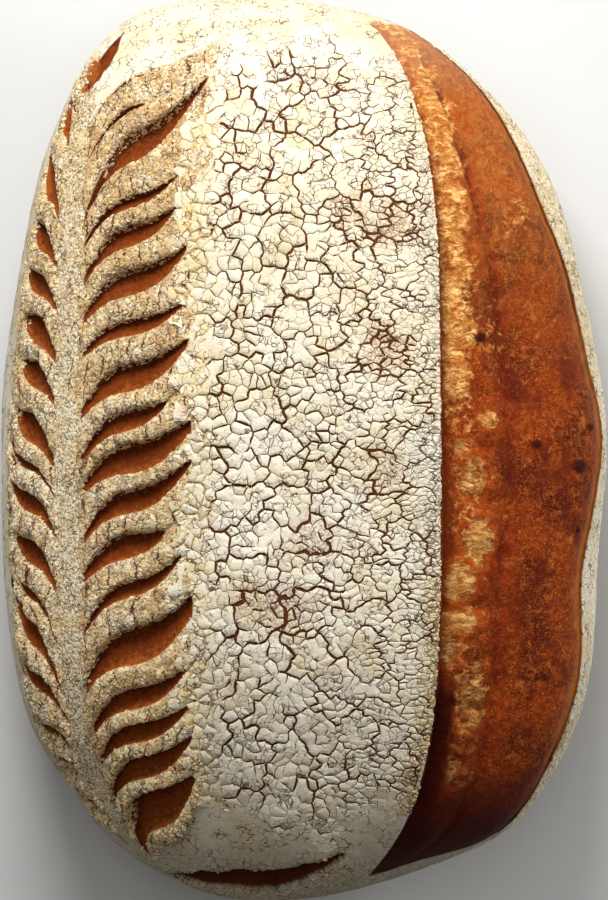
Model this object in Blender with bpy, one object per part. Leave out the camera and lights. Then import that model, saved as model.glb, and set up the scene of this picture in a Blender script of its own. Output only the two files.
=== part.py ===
"""Oval sourdough loaf: one closed solid, lofted from loops that go once round the loaf.

+X runs across the loaf towards the burst side, +Y along it, and +Z up. The origin is the
middle of the flat base. Each loop starts under the base, climbs the left flank, crosses the
wheat-ear score, the floured top, the ear and the burst, and comes back down the right flank.
The loops bend along the blade strokes, so every cut has crisp edges of its own.
"""

import bmesh
import bpy
import numpy as np

MM = 0.001
QUARTER = np.pi / 2

# The whole loaf.
LENGTH = 275 * MM
HALF_WIDTH = {"left": 92 * MM, "right": 89.5 * MM}
HEIGHT = 97 * MM
WAIST_HEIGHT = 37 * MM  # where the loaf is widest
BELLY_DEPTH = 50 * MM  # of the underside below the waist, had the base not cut it off
TOP_ROUNDING = 2.3  # 2 is an ellipse, and more has squarer shoulders
BELLY_ROUNDING = 2.5

# How far each end stays full before it rounds off: the two powers of its superellipses.
FAR_END = {"left": (2.2, 2.2), "right": (1.8, 3.8), "crown": (2.3, 2.3)}
NEAR_END = {"left": (3.4, 2.0), "right": (4.2, 1.8), "crown": (2.7, 2.3)}
FAR_TIP = -26 * MM  # how far across each tip lies
NEAR_TIP = -10 * MM
TIP_DRIFT = {"far": 4, "near": 10}  # more keeps the drift closer to the tip

# Where the widest line stands out or in: side, place along, spread and height, in mm.
PLAN_HUMPS = [("right", 0, 27, 2.8), ("right", -117, 12, 2.0), ("left", -103, 12, -2.0)]

# Lines along the loaf: how far across each is at mid length.
SPINE = -70 * MM
SPINE_HALF_WIDTH = 3.2 * MM
SPINE_DRIFT = -9 * MM  # at the far end
STROKE_END = -32.5 * MM  # as far as the widest blade strokes reach
EAR_EDGE = 39 * MM
RIGHT_RIM = 3.2 * MM  # floured strip between the burst and the widest line
# Where that strip grows wider or narrower: place along, spread and how much, in mm.
RIM_CHANGES = [(77, 24, 5.2), (6, 20, -1.7), (-42, 18, 1.8), (-82, 20, 1.2)]
LEFT_RIM = 3.0 * MM
# Towards the ends each line stays between these shares of the way out.
LIMITS = {
    "spine_left": (-0.90, -0.50),
    "spine_right": (-0.85, -0.40),
    "stroke_end": (-0.62, 0.0),
    "ear": (0.30, 0.72),
}

# Blade strokes, from the far end: where each starts along the spine and where it ends along
# the line of its outer tips, how wide it has opened, all in mm, and how far out it closes.
RIGHT_STROKES = [
    (97, 126, 1.4, 0.45), (84, 118.5, 2.6, 0.52), (63, 113.5, 10.4, 0.96),
    (57, 86.5, 4.0, 0.86), (46.5, 77, 6.6, 0.86), (35.5, 61, 8.2, 0.95),
    (25.5, 44.5, 5.2, 0.92), (7.5, 32.5, 8.7, 0.98), (-6, 20.5, 6.2, 0.82),
    (-14.5, 7, 9.2, 1.06), (-29.5, -3.5, 7.4, 1.0), (-40.5, -18, 7.8, 0.80),
    (-57.5, -27.5, 5.0, 0.92), (-73, -45.5, 11.4, 1.10), (-86.5, -62.5, 6.5, 0.94),
    (-96, -73.5, 6.0, 0.94), (-108.5, -82.5, 7.0, 0.95), (-124, -93.5, 11.6, 0.93),
]  # fmt: skip
LEFT_STROKES = [
    (114, 124, 0.5, 0.05), (104.5, 116, 0.5, 0.05), (90.5, 106.5, 9.5, 1.02),
    (68, 89.5, 10.5, 1.05), (53.5, 72, 8.4, 0.86), (40.5, 57.5, 7.0, 0.90),
    (25.5, 45.5, 9.6, 0.78), (13, 31.5, 8.6, 0.78), (-6, 17.5, 9.4, 0.82),
    (-16, 5, 2.8, 1.0), (-27.5, -6, 6.2, 0.92), (-43.5, -20, 7.9, 0.84),
    (-61, -29, 2.8, 0.95), (-75, -39.5, 8.4, 1.05), (-81.5, -60.5, 6.2, 0.85),
    (-92.5, -78, 2.5, 0.92), (-100, -89, 1.8, 0.95), (-112, -103, 1.6, 0.95),
]  # fmt: skip
SCORE_SPAN = 0.98  # of the half length
SCORE_FADE = 0.20
STROKE_SWAY = 0.11  # how far a stroke swings either side of straight, as a share of its rise
STROKE_BULGE = 0.04
TIP_OPENING = 0.06  # at either tip, as a share of the full opening
LEAST_SPREAD = 1.5 * MM  # of the rows of one stroke, where it closes
LAST_RIDGE = 5 * MM  # below the last stroke
# How deep the cuts are: at no opening at all, and more for each mm of opening.
CUT_DEPTH = {"right": (1.8 * MM, 0.26), "left": (1.4 * MM, 0.16)}
RIDGE_SWELL = 1.5 * MM
# Across one stroke: how far from its far edge each row lies, and its share of the depth.
STROKE_ROWS = ((0.0, 0.0), (0.22, 1.0), (0.76, 0.65), (1.0, 0.0))

# The ear, a flap of crust that lifts over the burst beside it.
EAR_LIFT = 2.2 * MM
EAR_REACH = 22 * MM  # how far back from its edge the flap starts to lift
EAR_THICKNESS = 2.4 * MM
EAR_OVERHANG = 0.6 * MM
EAR_UNDERCUT = 3.2 * MM
EAR_SPAN = 0.97  # of the half length
EAR_FADE = 0.32
SEAM = 0.008  # the least turn between the columns of the ear, in radians

# The burst, across from the ear to the lip: the folds that run along it.
BURST_SINK = 5.2 * MM
STRAND = {"place": 0.21, "spread": 0.11, "height": 2.3 * MM}
CREASE = {"place": 0.33, "spread": 0.045, "height": -1.5 * MM}
SWELL = {"place": 0.68, "spread": 0.22, "height": 2.2 * MM}
SEGMENT = {"length": 31 * MM, "depth": 0.9 * MM}  # the strand pinches in at each of these
LIP_STEP = 1.4 * MM

# Single cuts, each a long lens: where its middle is, half its length and half its width in mm,
# which way it runs in radians, how it bends, and how deep it is in mm.
LENS_CUTS = {
    "near_split": {
        "middle": (-14, -129.3), "half": (26.6, 3.5), "turn": 0.0, "bend": 0.013, "depth": 4.2,
    },
    "first_cut": {
        "middle": (-60.6, 116), "half": (10.5, 2.1), "turn": 1.01, "bend": 0.0, "depth": 1.7,
    },
}  # fmt: skip
LENS_FADE = 14 * MM  # how softly they run out towards the widest line
LENS_LEVEL = 0.6  # how much of them is left there
# The rows beside the near split bend along it: from where, and how far across, in mm.
SPLIT_ROWS = {"from": -92, "until": 40, "soft": 20}

# Unevenness of the risen dough.
LUMP_SEED = 7
LUMP_WAVES = 9
LUMP_LENGTHS = (35 * MM, 90 * MM)
LUMP_HEIGHT = 0.25 * MM

# Columns in each band round the loaf, and rows at its ends.
BANDS = {
    "belly_left": 6, "flank_left": 2, "leaf_left": 6, "spine": 2, "leaf_right": 9,
    "field": 6, "ear": 3, "burst": 9, "lip": 1, "flank_right": 2, "belly_right": 6,
}  # fmt: skip
FAR_ROWS = 11
NEAR_ROWS = 12
END_CROWDING = 1.8


def smooth_step(value):
    """0 below 0, 1 above 1, and an even curve between them."""
    t = np.clip(value, 0, 1)
    return t * t * (3 - 2 * t)


def hump(value, shape):
    """A rounded rise at the place that the shape names."""
    return np.exp(-(((value - shape["place"]) / shape["spread"]) ** 2))


def end_rounding(along, which):
    """How full the loaf still is at this place along it: 1 in the middle, 0 at either end."""
    size = np.minimum(np.abs(along), 1)
    far, near = (
        (1 - size ** end[which][0]) ** (1 / end[which][1]) for end in (FAR_END, NEAR_END)
    )
    return np.where(along > 0, far, near)


def outline(along):
    """(middle, half width) of the loaf seen from above."""
    tip = FAR_TIP * np.clip(along, 0, 1) ** TIP_DRIFT["far"]
    tip = tip + NEAR_TIP * np.clip(-along, 0, 1) ** TIP_DRIFT["near"]
    reach = {side: width * end_rounding(along, side) for side, width in HALF_WIDTH.items()}
    for side, place, spread, height in PLAN_HUMPS:
        off = (along * LENGTH / 2 - place * MM) / (spread * MM)
        reach[side] = reach[side] + height * MM * np.exp(-(off**2))
    half = (reach["left"] + reach["right"]) / 2
    return tip + (reach["right"] - reach["left"]) / 2, np.maximum(half, 0.01 * MM)


def skin(angle, along):
    """Points of the plain loaf. The angle is 0 at the crown and +-90 degrees at the waist."""
    middle, half = outline(along)
    sine, cosine = np.sin(angle), np.cos(angle)
    x = middle + half * np.sign(sine) * np.abs(sine) ** (2 / TOP_ROUNDING)
    fullness = end_rounding(along, "crown")
    above = (HEIGHT - WAIST_HEIGHT) * fullness * np.abs(cosine) ** (2 / TOP_ROUNDING)
    below = -BELLY_DEPTH * fullness * np.abs(cosine) ** (2 / BELLY_ROUNDING)
    z = WAIST_HEIGHT + np.where(cosine >= 0, above, below)
    return np.stack([x, along * LENGTH / 2, np.maximum(z, 0)], axis=-1)


def outward(points):
    """The plain loaf's outward direction: the slope of the field that it is a level of."""

    def level(p):
        along = np.clip(p[..., 1] / (LENGTH / 2), -0.995, 0.995)
        middle, half = outline(along)
        up = p[..., 2] - WAIST_HEIGHT
        reach = np.where(up > 0, HEIGHT - WAIST_HEIGHT, BELLY_DEPTH)
        reach = reach * end_rounding(along, "crown")
        across = (p[..., 0] - middle) / half
        return np.abs(across) ** TOP_ROUNDING + np.abs(up / reach) ** TOP_ROUNDING

    step = 0.2 * MM
    slope = [level(points + way) - level(points - way) for way in np.eye(3) * step]
    slope = np.stack(slope, axis=-1)
    return slope / np.maximum(np.linalg.norm(slope, axis=-1, keepdims=True), 1e-12)


def angle_at(share):
    """The angle of a line that lies this share of the way from the middle to the side."""
    return np.sign(share) * np.arcsin(np.abs(share) ** (TOP_ROUNDING / 2))


def band_edges(along):
    """The angles that each band lies between."""
    full = np.sqrt(np.clip(1 - along**4, 0, 1))
    middle, half = outline(along)
    spine = SPINE * full**0.6 + SPINE_DRIFT * np.clip(along, 0, 1) ** 4
    across = {
        "spine_left": spine - SPINE_HALF_WIDTH * full,
        "spine_right": spine + SPINE_HALF_WIDTH * full,
        "stroke_end": STROKE_END * full**0.8,
        "ear": EAR_EDGE * full,
    }
    line = {
        name: angle_at(np.clip((value - middle) / half, *LIMITS[name]))
        for name, value in across.items()
    }
    line["outer_left"] = angle_at(np.full_like(along, LEFT_RIM / HALF_WIDTH["left"] - 1))
    rim = np.full_like(along, RIGHT_RIM)
    for place, spread, more in RIM_CHANGES:
        rim += more * MM * np.exp(-(((along * LENGTH / 2 - place * MM) / (spread * MM)) ** 2))
    line["lip"] = angle_at(1 - rim / HALF_WIDTH["right"])
    waist = np.full_like(along, QUARTER)
    ear_foot = line["ear"] + SEAM * BANDS["ear"]
    lip_foot = line["lip"] + (waist - line["lip"]) / 4
    return {
        "belly_left": (-2 * waist, -waist),
        "flank_left": (-waist, line["outer_left"]),
        "leaf_left": (line["outer_left"], line["spine_left"]),
        "spine": (line["spine_left"], line["spine_right"]),
        "leaf_right": (line["spine_right"], line["stroke_end"]),
        "field": (line["stroke_end"], line["ear"]),
        "ear": (line["ear"], ear_foot),
        "burst": (ear_foot, line["lip"]),
        "lip": (line["lip"], lip_foot),
        "flank_right": (lip_foot, waist),
        "belly_right": (waist, 2 * waist),
    }


def columns():
    """(band, share of the way across the band) of every column."""
    return [(band, step / count) for band, count in BANDS.items() for step in range(count)]


def to_the_ends(places):
    """The same places with those of both rounded ends before and after them."""
    far = np.arange(FAR_ROWS) / FAR_ROWS
    near = np.arange(NEAR_ROWS)[::-1] / NEAR_ROWS
    beyond = LENGTH / 2 - (LENGTH / 2 - places[0]) * far**END_CROWDING
    before = -LENGTH / 2 + (places[-1] + LENGTH / 2) * near**END_CROWDING
    return np.concatenate([beyond, places, before])


def with_ends(values):
    """The same values with nothing at both ends."""
    return np.pad(values, (FAR_ROWS, NEAR_ROWS))


def openness(share):
    """How open a stroke is, this far along it, as a share of its widest."""
    wide = np.sin(np.pi * np.clip(share, 0, 1) ** 1.15) ** 0.6
    return TIP_OPENING + (1 - TIP_OPENING) * wide


def stroke_rows(strokes, share):
    """Where the rows of one side lie along the loaf, this share of the way out.

    After the rows of each stroke comes one for the crest of the ridge that follows it.
    """
    inner, outer, opening, reach = np.array(strokes).T
    rise = share + STROKE_SWAY * np.sin(2 * np.pi * share) + STROKE_BULGE * np.sin(np.pi * share)
    middle = (inner + (outer - inner) * rise) * MM
    spread = np.maximum(opening * MM * openness(share / reach), LEAST_SPREAD)
    far = middle + spread / 2
    following = np.append(far[1:], (middle - spread / 2)[-1] - LAST_RIDGE)
    rows = [far - spread * step for step, _ in STROKE_ROWS]
    rows.append((rows[-1] + following) / 2)
    return to_the_ends(np.stack(rows, axis=1).ravel())


def even_rows(count):
    """Rows that ignore the strokes, a little closer together at the ends."""
    share = 1 - 2 * np.arange(count) / (count - 1)
    return LENGTH / 2 * (0.4 * share + 0.6 * np.sin(QUARTER * share))


def along_split(place, share):
    """How far the rows by the near end bend to run along the split, this far across the top."""
    cut = LENS_CUTS["near_split"]
    x = (STROKE_END + (EAR_EDGE - STROKE_END) * share) / MM
    off = np.clip(x - cut["middle"][0], 0, cut["half"][0])
    rise = cut["bend"] * off**2 * smooth_step((SPLIT_ROWS["until"] - x) / SPLIT_ROWS["soft"])
    end, middle, start = -LENGTH / 2, cut["middle"][1] * MM, SPLIT_ROWS["from"] * MM
    beyond = smooth_step((start - place) / (start - middle))
    return rise * MM * np.where(place > middle, beyond, (place - end) / (middle - end))


def place_columns():
    """(along, angle) of every grid point, with a row for each loop."""
    spine_left, spine_right = stroke_rows(LEFT_STROKES, 0.0), stroke_rows(RIGHT_STROKES, 0.0)
    tips_left, tips_right = stroke_rows(LEFT_STROKES, 1.0), stroke_rows(RIGHT_STROKES, 1.0)
    even = even_rows(len(spine_right))
    along, angle = [], []
    for band, share in columns():
        place = even
        if band == "leaf_right":
            place = stroke_rows(RIGHT_STROKES, share)
        elif band == "leaf_left":
            place = stroke_rows(LEFT_STROKES, 1 - share)
        elif band == "spine":
            place = spine_left + (spine_right - spine_left) * share
        elif band == "field":
            place = tips_right + (even - tips_right) * smooth_step(share * 1.5)
            place = place + along_split(place, share)
        elif band == "flank_left":
            place = even + (tips_left - even) * smooth_step(share)
        here = np.clip(place / (LENGTH / 2), -1, 1)
        start, end = band_edges(here)[band]
        along.append(here)
        angle.append(start + (end - start) * share)
    return np.stack(along, axis=1), np.stack(angle, axis=1)


def score_relief(side, strokes, share, along):
    """Depth of one side's cuts and swell of its ridges, this far out from the spine."""
    _, _, opening, reach = np.array(strokes).T
    least, more = CUT_DEPTH[side]
    deepest = (least + more * opening * MM) * openness(share / reach)
    deepest = deepest * smooth_step(share / 0.15) * (share < reach)
    depth = [-deepest * part for _, part in STROKE_ROWS]
    depth.append(np.full_like(opening, RIDGE_SWELL * np.sin(np.pi * share) ** 0.5))
    fade = smooth_step((SCORE_SPAN - np.abs(along)) / SCORE_FADE)
    return fade * with_ends(np.stack(depth, axis=1).ravel())


def burst_relief(share, points):
    """The folds of the burst, this far across it."""
    segments = np.cos(2 * np.pi * points[:, 1] / SEGMENT["length"])
    strand = STRAND["height"] - SEGMENT["depth"] * segments**8
    return (
        -BURST_SINK * (1 - share) ** 3
        + strand * hump(share, STRAND)
        + CREASE["height"] * hump(share, CREASE)
        + SWELL["height"] * hump(share, SWELL)
        - LIP_STEP * smooth_step(share * 4 - 3)
    )


def relief(along, points):
    """How far every grid point stands out from the plain loaf."""
    out = np.zeros_like(along)
    ear = skin(band_edges(along)["ear"][0], along)[..., 0]
    lifted = EAR_LIFT * smooth_step(1 - (ear - points[..., 0]) / EAR_REACH) ** 2
    ear_profile = (0.0, EAR_THICKNESS, EAR_LIFT + BURST_SINK)
    ear_column = 0
    for column, (band, share) in enumerate(columns()):
        if band == "leaf_right":
            out[:, column] = score_relief("right", RIGHT_STROKES, share, along[:, column])
        elif band == "leaf_left":
            out[:, column] = score_relief("left", LEFT_STROKES, 1 - share, along[:, column])
        elif band == "field":
            out[:, column] = (lifted * ear_span(along))[:, column]
        elif band == "ear":
            drop = EAR_LIFT - ear_profile[ear_column]
            out[:, column] = drop * ear_span(along)[:, column]
            ear_column += 1
        elif band == "burst":
            folds = burst_relief(share, points[:, column])
            out[:, column] = folds * ear_span(along)[:, column]
    return out


def ear_span(along):
    """1 beside the ear, fading to 0 beyond its two ends."""
    return smooth_step((EAR_SPAN - np.abs(along)) / EAR_FADE)


def lens_relief(points):
    """The split across the near end, and the short cut at the far end of the spine."""
    total = np.zeros(points.shape[:-1])
    for cut in LENS_CUTS.values():
        x, y = (points[..., axis] / MM - cut["middle"][axis] for axis in (0, 1))
        along = x * np.cos(cut["turn"]) + y * np.sin(cut["turn"])
        across = y * np.cos(cut["turn"]) - x * np.sin(cut["turn"])
        across = across - cut["bend"] * np.maximum(along, 0) ** 2
        half_length, half_width = cut["half"]
        left = np.clip(1 - (along / half_length) ** 2, 0, 1)  # nothing beyond its two ends
        width = half_width * np.maximum(left, 0.01) ** 0.7
        shape = smooth_step(2.2 - 2.2 * np.abs(across) / width) * (left > 0)
        total -= cut["depth"] * MM * shape
    return total * smooth_step((points[..., 2] - WAIST_HEIGHT) / LENS_FADE + LENS_LEVEL)


def lumps(points):
    """Seeded unevenness, none of it at the base."""
    random = np.random.default_rng(LUMP_SEED)
    total = np.zeros(points.shape[:-1])
    for _ in range(LUMP_WAVES):
        way = random.normal(size=3)
        way /= np.linalg.norm(way)
        turn = points @ way * 2 * np.pi / random.uniform(*LUMP_LENGTHS)
        total += LUMP_HEIGHT * np.sin(turn + random.uniform(0, 2 * np.pi))
    return total * smooth_step(points[..., 2] / WAIST_HEIGHT)


def slide_ear(points, along):
    """Brings the ear's nose out over the burst, and its root back under the flap."""
    slides = (0.0, EAR_OVERHANG, -EAR_UNDERCUT)
    first = [band for band, _ in columns()].index("ear")
    for number, slide in enumerate(slides):
        column = first + number
        points[:, column, 0] += slide * ear_span(along[:, column])


def loaf_points():
    """The loaf's surface as rows of points, one row for each loop."""
    along, angle = place_columns()
    points = skin(angle, along)
    out = relief(along, points) + lens_relief(points) + lumps(points)
    points = points + outward(points) * out[..., None]
    slide_ear(points, along)
    return points


def build_loaf():
    grid = loaf_points()
    bm = bmesh.new()
    far_tip = bm.verts.new(grid[0].mean(axis=0))
    loops = [[bm.verts.new(point) for point in row] for row in grid[1:-1]]
    near_tip = bm.verts.new(grid[-1].mean(axis=0))
    around = len(loops[0])
    for i in range(around):
        j = (i + 1) % around
        bm.faces.new((far_tip, loops[0][j], loops[0][i]))
        bm.faces.new((near_tip, loops[-1][i], loops[-1][j]))
        for loop, following in zip(loops, loops[1:]):
            bm.faces.new((loop[i], loop[j], following[j], following[i]))
    bmesh.ops.recalc_face_normals(bm, faces=bm.faces)
    bmesh.ops.triangulate(bm, faces=bm.faces)
    mesh = bpy.data.meshes.new("loaf")
    bm.to_mesh(mesh)
    bm.free()
    mesh.shade_smooth()
    loaf = bpy.data.objects.new("loaf", mesh)
    bpy.context.scene.collection.objects.link(loaf)
    return loaf


def crust_material():
    material = bpy.data.materials.new("floured_crust")
    material.use_nodes = True
    surface = material.node_tree.nodes["Principled BSDF"]
    surface.inputs["Base Color"].default_value = (0.62, 0.45, 0.27, 1)
    surface.inputs["Roughness"].default_value = 0.85
    surface.inputs["Metallic"].default_value = 0.0
    return material


def main():
    for thing in list(bpy.data.objects):
        bpy.data.objects.remove(thing)
    loaf = build_loaf()
    loaf.data.materials.append(crust_material())


main()
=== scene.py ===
import bmesh
import bpy
import numpy as np
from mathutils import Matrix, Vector, geometry


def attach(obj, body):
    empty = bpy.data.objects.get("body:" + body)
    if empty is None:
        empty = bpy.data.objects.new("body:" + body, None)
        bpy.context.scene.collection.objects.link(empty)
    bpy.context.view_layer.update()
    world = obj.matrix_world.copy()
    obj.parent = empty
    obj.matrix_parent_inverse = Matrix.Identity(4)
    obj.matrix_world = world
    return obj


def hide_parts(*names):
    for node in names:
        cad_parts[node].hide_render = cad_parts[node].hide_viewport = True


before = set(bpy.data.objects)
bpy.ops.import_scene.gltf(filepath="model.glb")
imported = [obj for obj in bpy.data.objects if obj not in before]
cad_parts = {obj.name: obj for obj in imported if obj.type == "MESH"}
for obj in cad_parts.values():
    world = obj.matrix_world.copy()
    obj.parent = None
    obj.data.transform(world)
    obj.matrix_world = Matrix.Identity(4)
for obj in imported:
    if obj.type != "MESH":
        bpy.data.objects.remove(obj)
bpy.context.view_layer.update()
print("frame loaded")

mm = 0.001
quarter = np.pi / 2
mapMargin = 0.002  # left free round the flattened map of every piece
tipLimit = 0.995  # places along the loaf are kept this far inside its tips


# ---- small helpers ----


def smoothStep(value):
    t = np.clip(value, 0, 1)
    return t * t * (3 - 2 * t)


def rising(value, start, length):
    return smoothStep((value - start) / length)


def falling(value, start, length):
    return smoothStep((start - value) / length)


def mixed(start, end, share):
    return start + (end - start) * share


def unit(vectors):
    return vectors / np.maximum(np.linalg.norm(vectors, axis=-1, keepdims=True), 1e-12)


def grain(points, size, seed=0):
    # seeded lumps of about this size, from -1 to 1
    cell = np.asarray(points) / size + 1000.0 + 17.3 * seed
    low = np.floor(cell).astype(np.int64)
    part = cell - low
    part = part * part * (3 - 2 * part)
    total = np.zeros(cell.shape[:-1])
    for corner in np.ndindex(2, 2, 2):
        at = (low + corner) @ np.array([73856093, 19349663, 83492791]) + seed * 2654435
        at = ((at ^ (at >> 13)) * 1274126177) & 0x7FFFFFFF
        value = ((at ^ (at >> 15)) & 0xFFFF) / 65535.0
        weight = np.prod(np.where(corner, part, 1 - part), axis=-1)
        total += value * weight
    return total * 2 - 1


def roughGrain(points, size, seed=0):
    # three sizes of lumps on top of each other
    return (
        grain(points, size, seed)
        + 0.5 * grain(points, size / 2.1, seed + 1)
        + 0.25 * grain(points, size / 4.3, seed + 2)
    ) / 1.75


def makeObject(name, points, faces, material, marks, mapPlaces, smooth=True):
    # marks are numbers kept on the mesh for its material, one for each point
    mesh = bpy.data.meshes.new(name)
    mesh.from_pydata(np.asarray(points).tolist(), [], faces)
    for mark, values in marks.items():
        layer = mesh.attributes.new(mark, "FLOAT", "POINT")
        layer.data.foreach_set("value", np.asarray(values, np.float32).ravel())
    layer = mesh.uv_layers.new(name="OFBake")
    layer.uv.foreach_set("vector", np.asarray(mapPlaces, np.float32).ravel())
    if smooth:
        mesh.shade_smooth()
    mesh.materials.append(material)
    thing = bpy.data.objects.new(name, mesh)
    bpy.context.scene.collection.objects.link(thing)
    return thing


# ---- the loaf's form, with the same sizes as the solid it stands for ----

loafForm = {
    "length": 275 * mm,
    "halfWidth": {"left": 92 * mm, "right": 89.5 * mm},
    "height": 97 * mm,
    "waistHeight": 37 * mm,
    "bellyDepth": 50 * mm,
    # powers: 2 gives an ellipse, and more is squarer
    "topRounding": 2.3,
    "bellyRounding": 2.5,
    "farEnd": {"left": (2.2, 2.2), "right": (1.8, 3.8), "crown": (2.3, 2.3)},
    "nearEnd": {"left": (3.4, 2.0), "right": (4.2, 1.8), "crown": (2.7, 2.3)},
    "farTip": -26 * mm,
    "nearTip": -10 * mm,
    "tipDrift": {"far": 4, "near": 10},
    # side, y, spread and height in mm
    "planHumps": [("right", 0, 27, 2.8), ("right", -117, 12, 2.0), ("left", -103, 12, -2.0)],
    "lumpSeed": 7,
    "lumpWaves": 9,
    "lumpLengths": (35 * mm, 90 * mm),
    "lumpHeight": 0.25 * mm,
}
halfLength = loafForm["length"] / 2


def endRounding(along, which):
    size = np.minimum(np.abs(along), 1)
    far, near = (
        (1 - size ** loafForm[end][which][0]) ** (1 / loafForm[end][which][1])
        for end in ("farEnd", "nearEnd")
    )
    return np.where(along > 0, far, near)


def planOutline(along):
    # middle and half width of the loaf seen from above
    drift = loafForm["tipDrift"]
    tip = loafForm["farTip"] * np.clip(along, 0, 1) ** drift["far"]
    tip = tip + loafForm["nearTip"] * np.clip(-along, 0, 1) ** drift["near"]
    reach = {side: w * endRounding(along, side) for side, w in loafForm["halfWidth"].items()}
    for side, place, spread, height in loafForm["planHumps"]:
        off = (along * halfLength - place * mm) / (spread * mm)
        reach[side] = reach[side] + height * mm * np.exp(-(off**2))
    half = (reach["left"] + reach["right"]) / 2
    return tip + (reach["right"] - reach["left"]) / 2, np.maximum(half, 0.01 * mm)


def plainSkin(angle, along):
    # points of the loaf before any cut; the angle is 0 at the crown
    middle, half = planOutline(along)
    sine, cosine = np.sin(angle), np.cos(angle)
    x = middle + half * np.sign(sine) * np.abs(sine) ** (2 / loafForm["topRounding"])
    full = endRounding(along, "crown")
    crown = loafForm["height"] - loafForm["waistHeight"]
    above = crown * full * np.abs(cosine) ** (2 / loafForm["topRounding"])
    below = -loafForm["bellyDepth"] * full * np.abs(cosine) ** (2 / loafForm["bellyRounding"])
    z = loafForm["waistHeight"] + np.where(cosine >= 0, above, below)
    return np.stack([x, along * halfLength, np.maximum(z, 0)], axis=-1)


def outward(points):
    # the way straight out of the plain skin
    def level(p):
        along = np.clip(p[..., 1] / halfLength, -tipLimit, tipLimit)
        middle, half = planOutline(along)
        rise = p[..., 2] - loafForm["waistHeight"]
        crown = loafForm["height"] - loafForm["waistHeight"]
        reach = np.where(rise > 0, crown, loafForm["bellyDepth"]) * endRounding(along, "crown")
        across = (p[..., 0] - middle) / half
        power = loafForm["topRounding"]
        return np.abs(across) ** power + np.abs(rise / reach) ** power

    step = 0.2 * mm
    slope = [level(points + way) - level(points - way) for way in np.eye(3) * step]
    return unit(np.stack(slope, axis=-1))


def doughLumps(points):
    # the slight unevenness of the whole loaf, none of it at the base
    random = np.random.default_rng(loafForm["lumpSeed"])
    total = np.zeros(points.shape[:-1])
    for _ in range(loafForm["lumpWaves"]):
        way = random.normal(size=3)
        way /= np.linalg.norm(way)
        turn = points @ way * 2 * np.pi / random.uniform(*loafForm["lumpLengths"])
        total += loafForm["lumpHeight"] * np.sin(turn + random.uniform(0, 2 * np.pi))
    return total * smoothStep(points[..., 2] / loafForm["waistHeight"])


# ---- the blade strokes of the wheat ear ----

wheatScore = {
    # where each stroke starts along the spine, where it ends, how wide it has opened, in mm,
    # and how far out it closes
    "right": [
        (97, 126, 1.4, 0.45), (84, 118.5, 2.6, 0.52), (63, 113.5, 10.4, 0.96),
        (57, 86.5, 4.0, 0.86), (46.5, 77, 6.6, 0.86), (35.5, 61, 8.2, 0.95),
        (25.5, 44.5, 5.2, 0.92), (7.5, 32.5, 8.7, 0.98), (-6, 20.5, 6.2, 0.82),
        (-14.5, 7, 9.2, 1.06), (-29.5, -3.5, 7.4, 1.0), (-40.5, -18, 7.8, 0.80),
        (-57.5, -27.5, 5.0, 0.92), (-73, -45.5, 11.4, 1.10), (-86.5, -62.5, 6.5, 0.94),
        (-96, -73.5, 6.0, 0.94), (-108.5, -82.5, 7.0, 0.95), (-124, -93.5, 11.6, 0.93),
    ],
    "left": [
        (114, 124, 0.5, 0.05), (104.5, 116, 0.5, 0.05), (90.5, 106.5, 9.5, 1.02),
        (68, 89.5, 10.5, 1.05), (53.5, 72, 8.4, 0.86), (40.5, 57.5, 7.0, 0.90),
        (25.5, 45.5, 9.6, 0.78), (13, 31.5, 8.6, 0.78), (-6, 17.5, 9.4, 0.82),
        (-16, 5, 2.8, 1.0), (-27.5, -6, 6.2, 0.92), (-43.5, -20, 7.9, 0.84),
        (-61, -29, 2.8, 0.95), (-75, -39.5, 8.4, 1.05), (-81.5, -60.5, 6.2, 0.85),
        (-92.5, -78, 2.5, 0.92), (-100, -89, 1.8, 0.95), (-112, -103, 1.6, 0.95),
    ],
    "sway": 0.11,
    "bulge": 0.04,
    "tipOpening": 0.06,
    "blade": (1.15, 0.6),  # where along it a stroke is widest, and how full it is
    "leastSpread": 1.5 * mm,  # of a stroke's rows, where it closes
    "lastRidge": 5 * mm,
    # how deep a cut is with no opening at all, and more for each mm of opening
    "depth": {"right": (1.8 * mm, 0.26), "left": (1.4 * mm, 0.16)},
    "shallowEnds": (0.15, 0.03),  # shares of its length over which a cut deepens and closes
    "ridgeSwell": 1.7 * mm,
    "ridgeShape": (0.55, 0.45),  # powers across and along a ridge: less is flatter
    "wall": 0.7 * mm,  # how far the steep side of a cut reaches
    "floorRise": 0.45,  # the cut's floor climbs by this share towards its near side
    "bareFrom": (0.2 * mm, 1.2 * mm),  # a cut is bare where it is this wide and this deep
    "fade": (0.98, 0.20),  # where along the loaf the score ends, and how gradually
}

scoreLines = {
    "spine": -70 * mm,
    "spineHalfWidth": 3.2 * mm,
    "spineDrift": -9 * mm,
    "strokeEnd": -32.5 * mm,
    "ear": 39 * mm,
    # width of the floury rim on the right, and where it is wider or narrower: y, spread, more
    "rightRim": 3.2 * mm,
    "rimChanges": [(77, 24, 5.2), (6, 20, -1.7), (-42, 18, 1.8), (-82, 20, 1.2)],
    "leftRim": 3 * mm,
    "seam": 0.008,
    "limits": {
        "spineLeft": (-0.90, -0.50),
        "spineRight": (-0.85, -0.40),
        "strokeEnd": (-0.62, 0.0),
        "ear": (0.30, 0.72),
    },
}


def angleAt(share):
    return np.sign(share) * np.arcsin(np.abs(share) ** (loafForm["topRounding"] / 2))


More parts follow.
